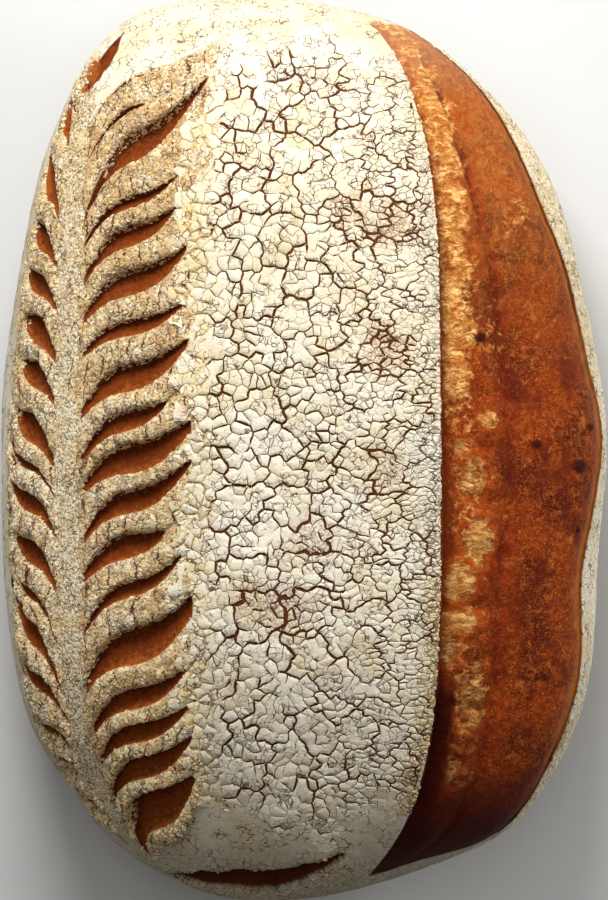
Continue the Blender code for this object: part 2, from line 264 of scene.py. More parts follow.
def bandEdges(along):
    # the angles that each band round the loaf lies between
    full = np.sqrt(np.clip(1 - along**4, 0, 1))
    middle, half = planOutline(along)
    spine = scoreLines["spine"] * full**0.6
    spine = spine + scoreLines["spineDrift"] * np.clip(along, 0, 1) ** 4
    across = {
        "spineLeft": spine - scoreLines["spineHalfWidth"] * full,
        "spineRight": spine + scoreLines["spineHalfWidth"] * full,
        "strokeEnd": scoreLines["strokeEnd"] * full**0.8,
        "ear": scoreLines["ear"] * full,
    }
    line = {
        name: angleAt(np.clip((value - middle) / half, *scoreLines["limits"][name]))
        for name, value in across.items()
    }
    leftRim = scoreLines["leftRim"] / loafForm["halfWidth"]["left"] - 1
    rim = scoreLines["rightRim"]
    for place, spread, more in scoreLines["rimChanges"]:
        off = (along * halfLength - place * mm) / (spread * mm)
        rim = rim + more * mm * np.exp(-(off**2))
    line["outerLeft"] = angleAt(np.full_like(along, leftRim))
    line["lip"] = angleAt(1 - rim / loafForm["halfWidth"]["right"])
    waist = np.full_like(along, quarter)
    earFoot = line["ear"] + scoreLines["seam"] * 3
    lipFoot = line["lip"] + (waist - line["lip"]) / 4
    return {
        "bellyLeft": (-2 * waist, -waist),
        "flankLeft": (-waist, line["outerLeft"]),
        "leafLeft": (line["outerLeft"], line["spineLeft"]),
        "spine": (line["spineLeft"], line["spineRight"]),
        "leafRight": (line["spineRight"], line["strokeEnd"]),
        "field": (line["strokeEnd"], line["ear"]),
        "ear": (line["ear"], earFoot),
        "burst": (earFoot, line["lip"]),
        "lip": (line["lip"], lipFoot),
        "flankRight": (lipFoot, waist),
        "bellyRight": (waist, 2 * waist),
    }


def earLine(along):
    # x of the ear's edge
    return plainSkin(bandEdges(along)["ear"][0], along)[..., 0]


def openness(share):
    # how open a stroke is this far along it, as a share of its widest
    skew, fullness = wheatScore["blade"]
    wide = np.sin(np.pi * np.clip(share, 0, 1) ** skew) ** fullness
    return wheatScore["tipOpening"] + (1 - wheatScore["tipOpening"]) * wide


def strokeShape(side, share):
    # middle of every stroke along the loaf and half its opening, this share of the way out
    inner, outer, opening, reach = np.array(wheatScore[side]).T
    share = np.asarray(share)[..., None]
    rise = share + wheatScore["sway"] * np.sin(2 * np.pi * share)
    rise = rise + wheatScore["bulge"] * np.sin(np.pi * share)
    middle = inner + (outer - inner) * rise
    return middle * mm, opening * mm / 2 * openness(share / reach)


def cutDepth(side, share):
    # the deepest that every stroke is here, and where it has closed
    _, _, opening, reach = np.array(wheatScore[side]).T
    share = np.asarray(share)[..., None]
    least, more = wheatScore["depth"][side]
    deepest = (least + more * opening * mm) * openness(share / reach)
    first, last = wheatScore["shallowEnds"]
    return deepest * smoothStep(share / first) * falling(share, reach, last)


# ---- the crust: rows that follow the strokes, and columns round the loaf ----

crustGrid = {
    "farRows": 24,
    "cutRows": 12,
    "ridgeRows": 12,
    "nearRows": 26,
    "endCrowding": 1.5,
    "evenness": 0.4,  # 1 spaces the rows evenly, 0 crowds them towards the tips
    "splitUntil": 13,  # x in mm up to which the rows bend with the split on the near end
    "splitFades": (40, 20),  # x where they lie straight again, and over how many mm
    "splitFrom": -92 * mm,  # y where they start to bend
    "columns": {
        "bellyLeft": 8, "flankLeft": 8, "leafLeft": 26, "spine": 8, "leafRight": 38,
        "field": 34, "ear": 6, "burst": 54, "lip": 4, "flankRight": 9, "bellyRight": 8,
    },
}


def gridRows():
    # for every row: which part of the loaf it is in, its stroke, and the share of the way
    rows = [("far", 0, n / crustGrid["farRows"]) for n in range(crustGrid["farRows"])]
    for stroke in range(len(wheatScore["right"])):
        for kind in ("cut", "ridge"):
            count = crustGrid[kind + "Rows"]
            rows += [(kind, stroke, n / count) for n in range(count)]
    count = crustGrid["nearRows"]
    rows += [("near", stroke, n / (count - 1)) for n in range(count)]
    return tuple(np.array(part) for part in zip(*rows))


def strokeRows(side, share, rows):
    # where every row lies along the loaf on this side, this share of the way out
    kind, stroke, way = rows
    middle, opening = strokeShape(side, share)
    spread = np.maximum(opening, wheatScore["leastSpread"] / 2)
    upper, lower = middle + spread, middle - spread
    following = np.append(upper[1:], lower[-1] - wheatScore["lastRidge"])
    crowd = crustGrid["endCrowding"]
    return np.select(
        [kind == "far", kind == "cut", kind == "ridge"],
        [
            halfLength - (halfLength - upper[0]) * way**crowd,
            mixed(upper[stroke], lower[stroke], way),
            mixed(lower[stroke], following[stroke], way),
        ],
        -halfLength + (following[-1] + halfLength) * (1 - way) ** crowd,
    )


def evenRows(count):
    # places along the loaf of rows that don't follow the strokes
    share = 1 - 2 * np.arange(count) / (count - 1)
    even = crustGrid["evenness"]
    return halfLength * (even * share + (1 - even) * np.sin(quarter * share))


def gridColumns():
    return [
        (band, step / count)
        for band, count in crustGrid["columns"].items()
        for step in range(count)
    ]


def alongSplit(place, share):
    # bends the rows near the split on the near end, so that they run along it
    split = lensCuts["nearSplit"]
    x = mixed(scoreLines["strokeEnd"], scoreLines["ear"], share) / mm
    off = max(min(x, crustGrid["splitUntil"]) - split["centre"][0] + lensEdges["bendStart"], 0)
    rise = split["bend"] * off**2 * mm * falling(x, *crustGrid["splitFades"])
    start, middle, end = crustGrid["splitFrom"], split["centre"][1] * mm, -halfLength
    above = falling(place, start, start - middle)
    return rise * np.where(place > middle, above, (place - end) / (middle - end))


def placeGrid(rows):
    # along and angle of every point of the crust
    even = evenRows(len(rows[0]))
    ends = {
        (side, end): strokeRows(side, end, rows) for side in ("left", "right") for end in (0, 1)
    }
    along, angle = [], []
    for band, share in gridColumns():
        place = even
        if band == "leafRight":
            place = strokeRows("right", share, rows)
        elif band == "leafLeft":
            place = strokeRows("left", 1 - share, rows)
        elif band == "spine":
            place = mixed(ends["left", 0], ends["right", 0], share)
        elif band == "field":
            place = mixed(ends["right", 1], even, smoothStep(share * 1.5))
            place = place + alongSplit(place, share)
        elif band == "flankLeft":
            place = mixed(even, ends["left", 1], smoothStep(share))
        here = np.clip(place / halfLength, -1, 1)
        start, end = bandEdges(here)[band]
        along.append(here)
        angle.append(mixed(start, end, share))
    return np.stack(along, axis=1), np.stack(angle, axis=1)


# ---- relief of the wheat ear ----


def ridgeCrest(way, share):
    # height of a ridge, this far across it and along it
    flatAcross, flatAlong = wheatScore["ridgeShape"]
    across = np.sin(np.pi * np.clip(way, 0, 1)) ** flatAcross
    outwards = np.sin(np.pi * np.clip(share * 0.97, 0, 1)) ** flatAlong
    return wheatScore["ridgeSwell"] * across * outwards


def scoreRelief(side, share, rows, place):
    # how far out the cuts and ridges stand here, and how bare or raised each row is
    kind, stroke, way = rows
    middle, half = strokeShape(side, share)
    off = place - middle[stroke]
    wall = half[stroke] - np.abs(off)
    across = np.clip(0.5 - off / (2 * half[stroke]), 0, 1)
    depth = cutDepth(side, share)[stroke]
    steep = smoothStep(wall / wheatScore["wall"])
    along = np.abs(place) / halfLength
    fade = falling(along, *wheatScore["fade"])
    floor = depth * steep * (1 - wheatScore["floorRise"] * across)
    out = np.where(kind == "cut", -floor, np.where(kind == "ridge", ridgeCrest(way, share), 0))
    leastWall, leastDepth = wheatScore["bareFrom"]
    isCut = (kind == "cut") * smoothStep(wall / leastWall) * smoothStep(depth / leastDepth)
    isRidge = (kind == "ridge") * np.sin(np.pi * way) ** 0.3
    crumbly = (kind == "ridge") + (kind == "cut") * (1 - smoothStep(isCut * 3))
    return out * fade, isCut * smoothStep(fade * 4), isRidge * fade, across, crumbly * fade


# ---- the ear and the burst beside it ----

earAndBurst = {
    "earLift": 2.2 * mm,
    "earReach": 22 * mm,
    # the ear's edge in section: how far below its top, and how far out over the burst, in mm
    "earProfile": [(0.0, 0.0), (0.35, 0.5), (1.2, 0.75), (2.2, 0.3), (3.4, -1.6), (7.4, -3.2)],
    "earFade": (0.97, 0.32),  # where along the loaf the ear and the burst end, how gradually
    "narrowing": 3.5,  # how soon the burst's outer side draws in towards its near end
    "sink": 5.2 * mm,
    # pale skin drawn out like a ladder beside the ear
    "ladder": {
        "place": 7 * mm,  # how far from the ear it runs
        "halfWidth": 5.2 * mm,
        "farther": 2.5 * mm,  # how much farther off it runs towards the near end
        "weakest": 0.45,
        # here and below: where a change starts, and over what length
        "shifts": (20 * mm, 40 * mm),
        "weakens": (8 * mm, 14 * mm),
        "ends": (-108 * mm, 25 * mm),
    },
    "margin": (6 * mm, 2.5 * mm),  # smooth strip beside the ear
    "veined": (28 * mm, 10 * mm),  # thin threads of skin, from the ear
    "strand": {"place": 0.21, "spread": 0.11, "height": 2.3 * mm},
    "crease": {"place": 0.31, "spread": 0.045, "height": -1.5 * mm},
    "swell": {"place": 0.68, "spread": 0.22, "height": 2.2 * mm},
    "segmentLength": 31 * mm,
    "segmentDepth": 0.9 * mm,
    "wander": 0.035,  # how far the strand and the crease stray
    "hem": (1.22, 0.17),  # of each stretched patch: its place and half its width, as shares
    "hemHeight": 0.5 * mm,
    "hemsEnd": (14 * mm, 12 * mm),  # no hems and no panes beyond this y
    "stain": (9 * mm, 1.6 * mm),  # dark strip beside the ear
    "stainEnd": (-62 * mm, 14 * mm),
    "lipStep": 1.4 * mm,
    # painted light: the strip inside the rim is made paler where the lamps hardly reach
    "lipPaintedLight": (0.80, 8),  # pale strip inside the rim: where it starts, and how sharply
    "lipLine": (0.96, 35),  # dark line at the rim's foot: where it starts, and how sharply
    "lipLineFades": (30 * mm, 15 * mm),
    # height and size of the fine relief
    "rungs": (0.34 * mm, 1.5 * mm),
    "folds": (0.5 * mm, 6.5 * mm),
    "bubbles": (0.36 * mm, 2.4 * mm),
    "paleRise": 0.35 * mm,
    "blisterHeight": 0.6 * mm,
    # dough skin stretched thin: x and y of each patch, half its width and half its length,
    # and how pale it is
    "stretched": [
        (44.1, 40.6, 3.9, 7.4, 1.0), (45.3, 24.1, 3.5, 7.4, 1.0), (54.7, 8.2, 3.2, 3.0, 0.8),
        (47.1, -0.3, 2.0, 3.4, 0.6), (50.3, -9.1, 4.2, 6.5, 0.6), (51.2, -26.8, 4.5, 7.0, 0.9),
        (46.5, -39.1, 4.0, 5.4, 1.0), (46.2, -50.9, 5.4, 3.4, 1.0), (43.5, -59.2, 3.2, 6.0, 0.8),
        (49.7, -73.0, 5.2, 11.0, 0.55), (44.4, -95.1, 6.0, 5.2, 0.5), (43.6, 73.3, 4.2, 5.0, 0.9),
        (42.4, 64.0, 3.8, 4.6, 0.8), (37.1, 107.0, 4.0, 9.0, 0.6), (39.5, 90.0, 4.2, 9.0, 0.6),
        (45.0, 54.5, 4.6, 5.4, 0.6), (57.0, 34.0, 3.6, 9.0, 0.3), (63.0, 68.0, 4.5, 6.0, 0.25),
    ],
    # dark blisters: x, y and radius
    "blisters": [(80, -5, 2.1), (69, 1.5, 1.5), (84, 6.5, 1.2), (52.5, 33, 1.6), (61.5, 106, 1.2)],
}


def hump(value, shape):
    return np.exp(-(((value - shape["place"]) / shape["spread"]) ** 2))


def earSpan(along):
    return falling(np.abs(along), *earAndBurst["earFade"])


def stretchedAt(points):
    # where the dough skin was drawn thin as the loaf opened, and the hem round each patch
    total = np.zeros(points.shape[:-1])
    hems = np.zeros(points.shape[:-1])
    place, spread = earAndBurst["hem"]
    rag = grain(points, 3.5 * mm, 31) + 0.6 * grain(points, 1.6 * mm, 32)
    for x, y, halfWidth, halfLength, strength in earAndBurst["stretched"]:
        off = np.hypot(
            (points[..., 0] / mm - x) / halfWidth, (points[..., 1] / mm - y) / halfLength
        )
        total = np.maximum(total, strength * smoothStep((1.5 - off + 0.4 * rag) * 0.9))
        hem = np.exp(-(((off - 0.25 * rag - place) / spread) ** 2)) * strength
        hems = np.maximum(hems * smoothStep(off), hem)
    return total, hems


def stainedAt(y):
    # 1 towards the near end, where the strip beside the ear is baked darkest
    return falling(y, *earAndBurst["stainEnd"])


def ladderAt(away, y, rag):
    # pale skin drawn out beside the ear, this far from it
    form = earAndBurst["ladder"]
    place = form["place"] + form["farther"] * falling(y, *form["shifts"])
    ladder = smoothStep((1.4 - np.abs(away - place) / form["halfWidth"] + 0.5 * rag) * 0.9)
    ladder = ladder * mixed(form["weakest"], 1, rising(y, *form["weakens"])) * (0.8 + 0.2 * rag)
    return ladder * rising(y, *form["ends"])


def blistersAt(points):
    # 1 on the dark blisters of the burst
    total = np.zeros(points.shape[:-1])
    for x, y, radius in earAndBurst["blisters"]:
        off = np.hypot(points[..., 0] / mm - x, points[..., 1] / mm - y) / radius
        total = np.maximum(total, smoothStep(1.5 - off))
    return total


def skinRelief(points, pale):
    # fine rungs across the drawn-out skin
    tall, size = earAndBurst["rungs"]
    rungs = grain(points * np.array((0.15, 1.0, 0.15)), size, 5)
    return pale * (tall * rungs + earAndBurst["paleRise"])


def doughRelief(points, pale, margin):
    # long folds with bubbles between them, fainter in the skin and beside the ear
    tall, size = earAndBurst["folds"]
    folds = tall * roughGrain(points * np.array((1.0, 0.3, 1.0)), size, 8)
    tall, size = earAndBurst["bubbles"]
    bubbles = tall * roughGrain(points, size, 12)
    return (1 - 0.75 * pale) * (folds + bubbles) * (1 - 0.7 * margin)


def burstRelief(share, points, away):
    # height of the opened dough this far from the ear, and the marks for its material
    form = earAndBurst
    y = points[:, 1]
    stray = form["wander"] * grain(points * np.array((0.0, 1.0, 0.0)), 38 * mm, 15)
    share = share + stray * np.sin(np.pi * share)
    segments = np.cos(2 * np.pi * y / form["segmentLength"]) ** 8
    strand = form["strand"]["height"] - form["segmentDepth"] * segments
    out = (
        -form["sink"] * (1 - share) ** 3
        + strand * hump(share, form["strand"])
        + form["crease"]["height"] * hump(share, form["crease"])
        + form["swell"]["height"] * hump(share, form["swell"])
        - form["lipStep"] * smoothStep(share * 4 - 3)
    )
    rag = grain(points, 4 * mm, 33)
    stretched, hems = stretchedAt(points)
    hemmed = falling(y, *form["hemsEnd"])
    hems = hems * hemmed
    stain = falling(away, *form["stain"]) * stainedAt(y)
    pale = np.maximum(stretched, ladderAt(away, y, rag)) * (1 - stain)
    margin = falling(away, *form["margin"]) * (1 - pale)
    blisters = blistersAt(points)
    out += skinRelief(points, pale) + form["hemHeight"] * hems
    out += doughRelief(points, pale, margin)
    out += form["blisterHeight"] * blisters
    litStrip, sharpness = form["lipPaintedLight"]
    line, lineSharpness = form["lipLine"]
    marks = {
        "pale": pale,
        "margin": margin,
        "hem": hems,
        "pane": stretched * hemmed * (1 - stain),
        "stain": stain,
        "veined": falling(away, *form["veined"]) * (1 - pale),
        "lipPaintedLight": smoothStep((share - litStrip) * sharpness + 0.4 * rag),
        "lipLine": smoothStep((share - line) * lineSharpness)
        * mixed(0.35, 1, rising(y, *form["lipLineFades"])),
        # painted shade in the crease, patchy
        "crease": hump(share, form["crease"]) * smoothStep(grain(points, 9 * mm, 34) + 0.8),
        "blister": blisters,
    }
    return out, marks


markNames = (
    "cut", "across", "ridge", "burst", "pale", "margin", "hem", "pane", "stain", "veined",
    "crease", "lipPaintedLight", "lipLine", "blister", "plated", "crumbly", "rift", "turn",
)  # fmt: skip


def addRelief(points, along, rows):
    # pushes the plain skin out and in, and notes what shows where
    out = np.zeros_like(along)
    slide = np.zeros_like(along)
    marks = {name: np.zeros_like(along) for name in markNames}
    lifted = fieldLift(points, along)
    span = earSpan(along)
    profile = iter(earAndBurst["earProfile"])
    for column, (band, share) in enumerate(gridColumns()):
        here = along[:, column]
        spots = points[:, column]
        if band in ("leafRight", "leafLeft"):
            side = "right" if band == "leafRight" else "left"
            way = share if side == "right" else 1 - share
            place = here * halfLength
            out[:, column], isCut, isRidge, across, loose = scoreRelief(side, way, rows, place)
            marks["cut"][:, column] = isCut
            marks["across"][:, column] = across
            marks["ridge"][:, column] = isRidge
            marks["rift"][:, column] = isRidge * falling(fromCrack(spots), *crumbs["rift"])
            marks["turn"][:, column] = crackTurn(spots)
            marks["crumbly"][:, column] = loose
        elif band == "spine":
            marks["crumbly"][:, column] = onSpine(spots)
        elif band == "field":
            out[:, column] = lifted[:, column]
            marks["plated"][:, column] = platedAt(spots) * (share > crackle["plateStart"])
            marks["crumbly"][:, column] = platedAt(spots) * (share < crackle["plateStart"])
        elif band == "ear":
            drop, forward = next(profile)
            out[:, column] = (earAndBurst["earLift"] - drop * mm) * span[:, column]
            slide[:, column] = forward * mm * span[:, column]
            marks["burst"][:, column] = smoothStep(drop * 4) * smoothStep(span[:, column] * 12)
            # painted shade on the ear's edge and under it
            marks["crease"][:, column] = smoothStep(drop * 3) * smoothStep(4 - drop)
            marks["stain"][:, column] = stainedAt(spots[:, 1]) * smoothStep(drop * 4)
        elif band == "burst":
            folds, found = burstRelief(share, spots, spots[:, 0] - earLine(here))
            out[:, column] = folds * span[:, column]
            narrowing = earAndBurst["narrowing"] * share**2 * (here < 0)  # on the near end alone
            marks["burst"][:, column] = smoothStep(span[:, column] * 12 - narrowing)
            for name, values in found.items():
                marks[name][:, column] = values
        elif band in ("lip", "flankRight"):
            marks["crumbly"][:, column] = crumbs["onRim"] * smoothStep(span[:, column] * 6) * (
                band == "lip" or share < 0.3
            )
    return out, slide, marks


def fieldLift(points, along):
    # how far the flap of the ear has lifted here
    inwards = earLine(along) - points[..., 0]
    lifted = smoothStep(1 - inwards / earAndBurst["earReach"]) ** 2
    return earAndBurst["earLift"] * lifted * earSpan(along)


# ---- the split low on the near end, and the first short cut beside the spine ----

lensCuts = {
    # centre, half the length and half the width in mm, which way it runs, how it bends, its depth
    "nearSplit": {
        "centre": (-14, -129.3), "half": (26.6, 3.5), "turn": 0.0, "bend": 0.0113, "depth": 4.2,
    },
    "firstCut": {
        "centre": (-60.6, 116.0), "half": (10.5, 2.1), "turn": 1.01, "bend": 0.0, "depth": 1.7,
    },
}  # fmt: skip
lensEdges = {
    "bendStart": 2,  # how far before its middle a cut starts to bend, in mm
    "rag": [(0.5, 6 * mm, 4), (0.35, 2 * mm, 5)],  # amount in mm, size and seed
    "low": 14 * mm,  # how gradually a cut ends below the widest line
    # loose flour along the split on the near end: how far it reaches, how thick, how long, in mm
    "frayed": (2.2, 0.55, 26),
    "frayedMiddle": -14,
}


def lensShape(points, which, wider=0):
    # 1 inside a long lens that bends up towards its far end, some mm wider than it is listed
    lens = lensCuts[which]
    x, y = (points[..., axis] / mm - lens["centre"][axis] for axis in (0, 1))
    along = x * np.cos(lens["turn"]) + y * np.sin(lens["turn"])
    across = y * np.cos(lens["turn"]) - x * np.sin(lens["turn"])
    across = across - lens["bend"] * np.maximum(along + lensEdges["bendStart"], 0) ** 2
    for amount, size, seed in lensEdges["rag"]:
        across = across + amount * grain(points, size, seed)
    length, width = lens["half"]
    width = width * np.clip(1 - (along / length) ** 2, 0, 1) ** 0.7 + 0.01 + wider
    shape = smoothStep(2.2 - 2.2 * np.abs(across) / width)
    above = (points[..., 2] - loafForm["waistHeight"]) / lensEdges["low"]
    return shape * smoothStep(above + 0.6)


def frayedAt(points, split):
    # loose flour round the split on the near end
    wider, thick, length = lensEdges["frayed"]
    frayed = lensShape(points, "nearSplit", wider) * smoothStep(1 - 6 * split)
    frayed *= np.abs(points[..., 0] / mm - lensEdges["frayedMiddle"]) < length
    return thick * frayed


# ---- crust ----

crustSkin = {
    "ridgeLumps": (1.0 * mm, 3.4 * mm),  # height and size
    "flourLumps": (0.22 * mm, 3.0 * mm),
    "cutBubbles": (0.22 * mm, 2.0 * mm),
    "slump": 0.5 * mm,  # how far the ridges lean out over the cuts
    "riftDepth": 0.3 * mm,  # of the cracks across the ridges
    "tipFan": 0.6,  # how long the map's fans at the tips are, in rows
    "leastStep": (0.4 * mm, 0.3 * mm),  # on the map, across and down
}


def crustFaces(rowCount, columnCount):
    # rings of quads, closed by a fan at either tip; the first and last rows are the tips
    faces, corners = [], []
    fan = crustSkin["tipFan"]
    tipFar, tipNear = rowCount * columnCount, rowCount * columnCount + 1
    for row in range(rowCount - 1):
        start = row * columnCount
        for column in range(columnCount):
            after = (column + 1) % columnCount
            below = start + columnCount
            faces.append((start + column, below + column, below + after, start + after))
            corners += [(row, column), (row + 1, column), (row + 1, column + 1), (row, column + 1)]
    last = (rowCount - 1) * columnCount
    for column in range(columnCount):
        after = (column + 1) % columnCount
        faces += [(tipFar, column, after), (tipNear, last + after, last + column)]
        corners += [(-fan, column + 0.5), (0, column), (0, column + 1)]
        end = rowCount - 1
        corners += [(end + fan, column + 0.5), (end, column + 1), (end, column)]
    return faces, np.array(corners, float)


def crustMap(corners, points):
    # lays the grid out flat, each row and column as wide as it really is
    middle, fan = points[len(points) // 2], crustSkin["tipFan"]
    leastWidth, leastLength = crustSkin["leastStep"]
    widths = np.linalg.norm(np.roll(middle, -1, axis=0) - middle, axis=1)
    across = np.concatenate([[0], np.cumsum(np.maximum(widths, leastWidth))])
    lengths = np.abs(np.diff(points[:, points.shape[1] // 2, 1]))
    down = np.concatenate([[0], np.cumsum(np.maximum(lengths, leastLength))])
    u = np.interp(corners[:, 1], np.arange(len(across)), across / across[-1])
    v = np.interp(corners[:, 0] + fan, np.arange(len(down)) + fan, down / down[-1])
    size = 1 - 2 * mapMargin
    return np.stack([mapMargin + size * u, 1 - mapMargin - size * v], axis=1)


def buildCrust(material):
    rows = gridRows()
    along, angle = placeGrid(rows)
    points = plainSkin(angle, along)
    ways = outward(points)
    out, slide, marks = addRelief(points, along, rows)
    opened = {name: lensShape(points, name) for name in lensCuts}
    height = np.clip(points[..., 2] / loafForm["waistHeight"], 0, 1)
    marks["cut"] = np.maximum(marks["cut"], opened["firstCut"])
    # the first cut takes the middle of the painted shadow-to-light ramp across a cut's floor
    marks["across"] = np.maximum(marks["across"], 0.6 * opened["firstCut"])
    marks["split"] = opened["nearSplit"]
    marks["bare"] = np.clip(marks["cut"] + marks["burst"] + marks["split"], 0, 1)
    marks["crumbly"] *= 1 - np.clip(opened["firstCut"] + opened["nearSplit"], 0, 1)
    marks["crumbly"] = np.maximum(marks["crumbly"], frayedAt(points, opened["nearSplit"]))
    floury = (1 - marks["bare"]) * (1 - marks["ridge"]) * height
    for name, amount, seed in (
        ("ridgeLumps", marks["ridge"], 3),
        ("flourLumps", floury, 6),
        ("cutBubbles", marks["cut"], 9),
    ):
        tall, size = crustSkin[name]
        out += tall * roughGrain(points, size, seed) * amount
    out += doughLumps(points) - crustSkin["riftDepth"] * marks["rift"]
    for name, shape in opened.items():
        out -= lensCuts[name]["depth"] * mm * shape
    lean = np.where(rows[0] == "ridge", crustSkin["slump"] * np.sin(2 * np.pi * rows[2]), 0)
    points = points + ways * out[..., None]
    points[..., 0] += slide
    points[..., 1] += lean[:, None] * marks["ridge"]
    points[..., 2] = np.maximum(points[..., 2], 0)
    marks["height"] = points[..., 2] / loafForm["height"]
    marks["nearness"] = -points[..., 1] / halfLength

    inner = slice(1, -1)
    ring = points[inner]
    tips = np.stack([points[0].mean(axis=0), points[-1].mean(axis=0)])
    faces, corners = crustFaces(*ring.shape[:2])
    flat = np.concatenate([ring.reshape(-1, 3), tips])
    kept = {
        name: np.concatenate([values[inner].ravel(), values[[0, -1], 0]])
        for name, values in marks.items()
    }
    crust = makeObject("loafCrust", flat, faces, material, kept, crustMap(corners, ring))
    print("crust:", sum(len(face) - 2 for face in faces), "triangles")
    return crust, points, marks["crumbly"]


# ---- places on the loaf, from above ----


def planPlace(spots):
    # along and angle of the skin under each x, y
    along = np.clip(spots[..., 1] / halfLength, -tipLimit, tipLimit)
    middle, half = planOutline(along)
    return along, angleAt(np.clip((spots[..., 0] - middle) / half, -0.999, 0.999))


def besideStrokes(spots):
    # share of the way out, distance to the nearest open cut, and way across the ridge
    along, angle = planPlace(spots)
    start, end = bandEdges(along)["leafRight"]
    share = np.clip((angle - start) / (end - start), -1, 2)
    inside = np.clip(share, 0, 1)
    middle, half = strokeShape("right", inside)
    reach = np.array(wheatScore["right"]).T[3]
    isOpen = (share[..., None] > 0.05) & (share[..., None] < np.minimum(reach, 1.0))
    gap = np.where(isOpen, np.abs(spots[..., 1:2] - middle) - half, 1.0)
    upper, lower = middle + half, middle - half
    after = np.concatenate([upper[..., 1:], lower[..., -1:] - wheatScore["lastRidge"]], axis=-1)
    ridge = (lower - spots[..., 1:2]) / (lower - after)
    within = (ridge >= 0) & (ridge <= 1)
    way = np.where(within, ridge, 0).sum(axis=-1)
    return share, gap.min(axis=-1), np.where(within.any(axis=-1), way, 0.5)


def uncutSurface(spots):
    # points of the floured skin under each x, y, and the way out of it
    along, angle = planPlace(spots)
    points = plainSkin(angle, along)
    ways = outward(points)
    share, _, way = besideStrokes(spots)
    onRidge = smoothStep((1 - share) * 8) * smoothStep(share * 10)
    out = ridgeCrest(way, np.clip(share, 0, 1)) * onRidge
    out = out * falling(np.abs(along), *wheatScore["fade"])
    inField = smoothStep((share - 0.98) * 30)
    out += fieldLift(points, along) * inField + doughLumps(points)
    lean = onRidge * (way - 0.5) * 1.1
    leant = unit(ways - np.stack([0 * lean, lean, 0 * lean], axis=-1))
    return points + ways * out[..., None], leant


# ---- flour that dried and crackled into plates ----

crackle = {
    "seed": 21,
    "area": ((-46 * mm, 44 * mm), (-126 * mm, 131 * mm)),  # x and y that plates are tried in
    "tries": 100000,
    "plateStart": 0.06,  # share of the way from the ropes to the ear where the plates begin
    # from the strokes to the ear: x, spacing of the plates, how much wider than long they are
    "spacing": [
        (-44, 3.0, 1.0), (-32, 3.6, 1.0), (-18, 4.0, 1.0), (-2, 3.3, 1.1),
        (12, 2.6, 1.25), (26, 2.0, 1.45), (41, 1.5, 1.5),
    ],
    "unevenness": (0.6, 1.4),  # smallest and largest plates, as shares of the spacing
    "room": 0.76,  # that plates keep between their middles, as a share of their sizes
    "coarse": 11 * mm,  # spacing of the wide cracks
    "coarseArea": ((-78 * mm, -135 * mm), (46 * mm, 135 * mm)),
    "coarseTries": 1400,
    "wideCrack": 0.36 * mm,  # half the width of a wide crack
    "thinCrack": (0.07 * mm, 0.24 * mm),
    "fullyOpen": 0.12 * mm,  # half the width at which a crack's edges are creamy right down
    "widthVaries": (0.5, 5 * mm),  # by what share, and over what length
    "closes": (2.6 * mm, 0.75, 2.5),  # over what length, how seldom and how suddenly
    "shut": 0.24,  # share of the thin cracks that never opened
    "thickness": 0.62 * mm,
    "heightVaries": (0.45, 4 * mm),
    "fullSize": 3.6 * mm,  # spacing at which the plates and the cracks are at their full size
    "embed": 0.5 * mm,
    "bevel": 0.22 * mm,
    "topGrain": (0.05 * mm, 1.0 * mm),  # height and size
    "warp": (1.1 * mm, 6 * mm),  # how far the cracks wander, and over what length
    "fray": (0.36 * mm, 1.3 * mm),
    "step": 0.66 * mm,  # between points along a crack
    "farEnd": [(-60, 94), (-42, 106), (-24, 120), (-8, 122), (40, 118)],
    "nearEnd": [(-40, -105), (-20, -112), (0, -117), (16, -113), (40, -105)],
    "endDrift": (5 * mm, 3 * mm),  # how uneven both ends are
    "endSoftness": 5 * mm,
    "fading": 11 * mm,  # how gradually the plates thin out towards either end
    "ropeEnd": 0.88,  # share of the way out where the ropes turn into plates
    "siteEdges": (0.4 * mm, 0.25 * mm),  # of a plate's middle: past the ear, and from a cut
    "clearance": 0.1 * mm,  # of a plate's edge from a cut
    "overhang": 0.5 * mm,  # of the plates at the ear's edge
    "overhangVaries": (0.3 * mm, 1.3 * mm),
    "fineBand": 9 * mm,  # along the ear's edge, where the flour is cracked finest
    # where the flour is thin and the crust shows through: x, y and radius
    "thinSpots": [
        (25, 64, 8), (13, 70, 7), (23, 28, 10), (24, -6, 9), (2, -27, 9),
        (-12, -45, 8), (-4, -48, 8), (4, 108, 5), (-32, 85, 6), (35, -88, 4.5), (32, -98, 3.5),
    ],
}


def crackleSpacing(x):
    where, size, _ = np.array(crackle["spacing"]).T
    return np.interp(x / mm, where, size) * mm


def evenScale():
    # x, and x with the plates' extra width taken out, both in mm
    where, _, wide = np.array(crackle["spacing"]).T
    steps = np.linspace(-80, 60, 281)
    return steps, np.cumsum(0.5 / np.interp(steps, where, wide))


def narrowed(x):
    steps, even = evenScale()
    return np.interp(x / mm, steps, even) * mm


def widened(x):
    steps, even = evenScale()
    return np.interp(x / mm, even, steps) * mm


def flatGrain(x, y, size, seed):
    return grain(np.stack([x, y, np.zeros_like(x)], axis=-1), size, seed)


def insideEnds(x, y):
    # how far inside both ends of the plated field this is
    across, both = crackle["endDrift"]
    drift = across * flatGrain(x, 0 * y, 7 * mm, 70) + both * flatGrain(x, y, 4 * mm, 72)
    far, near = (
        np.interp(x / mm, *np.array(crackle[end]).T) * mm for end in ("farEnd", "nearEnd")
    )
    return np.minimum(far - y, y - near) + drift


def platedAt(points):
    # 1 where plates cover the field
    return smoothStep(insideEnds(points[:, 0], points[:, 1]) / crackle["endSoftness"])


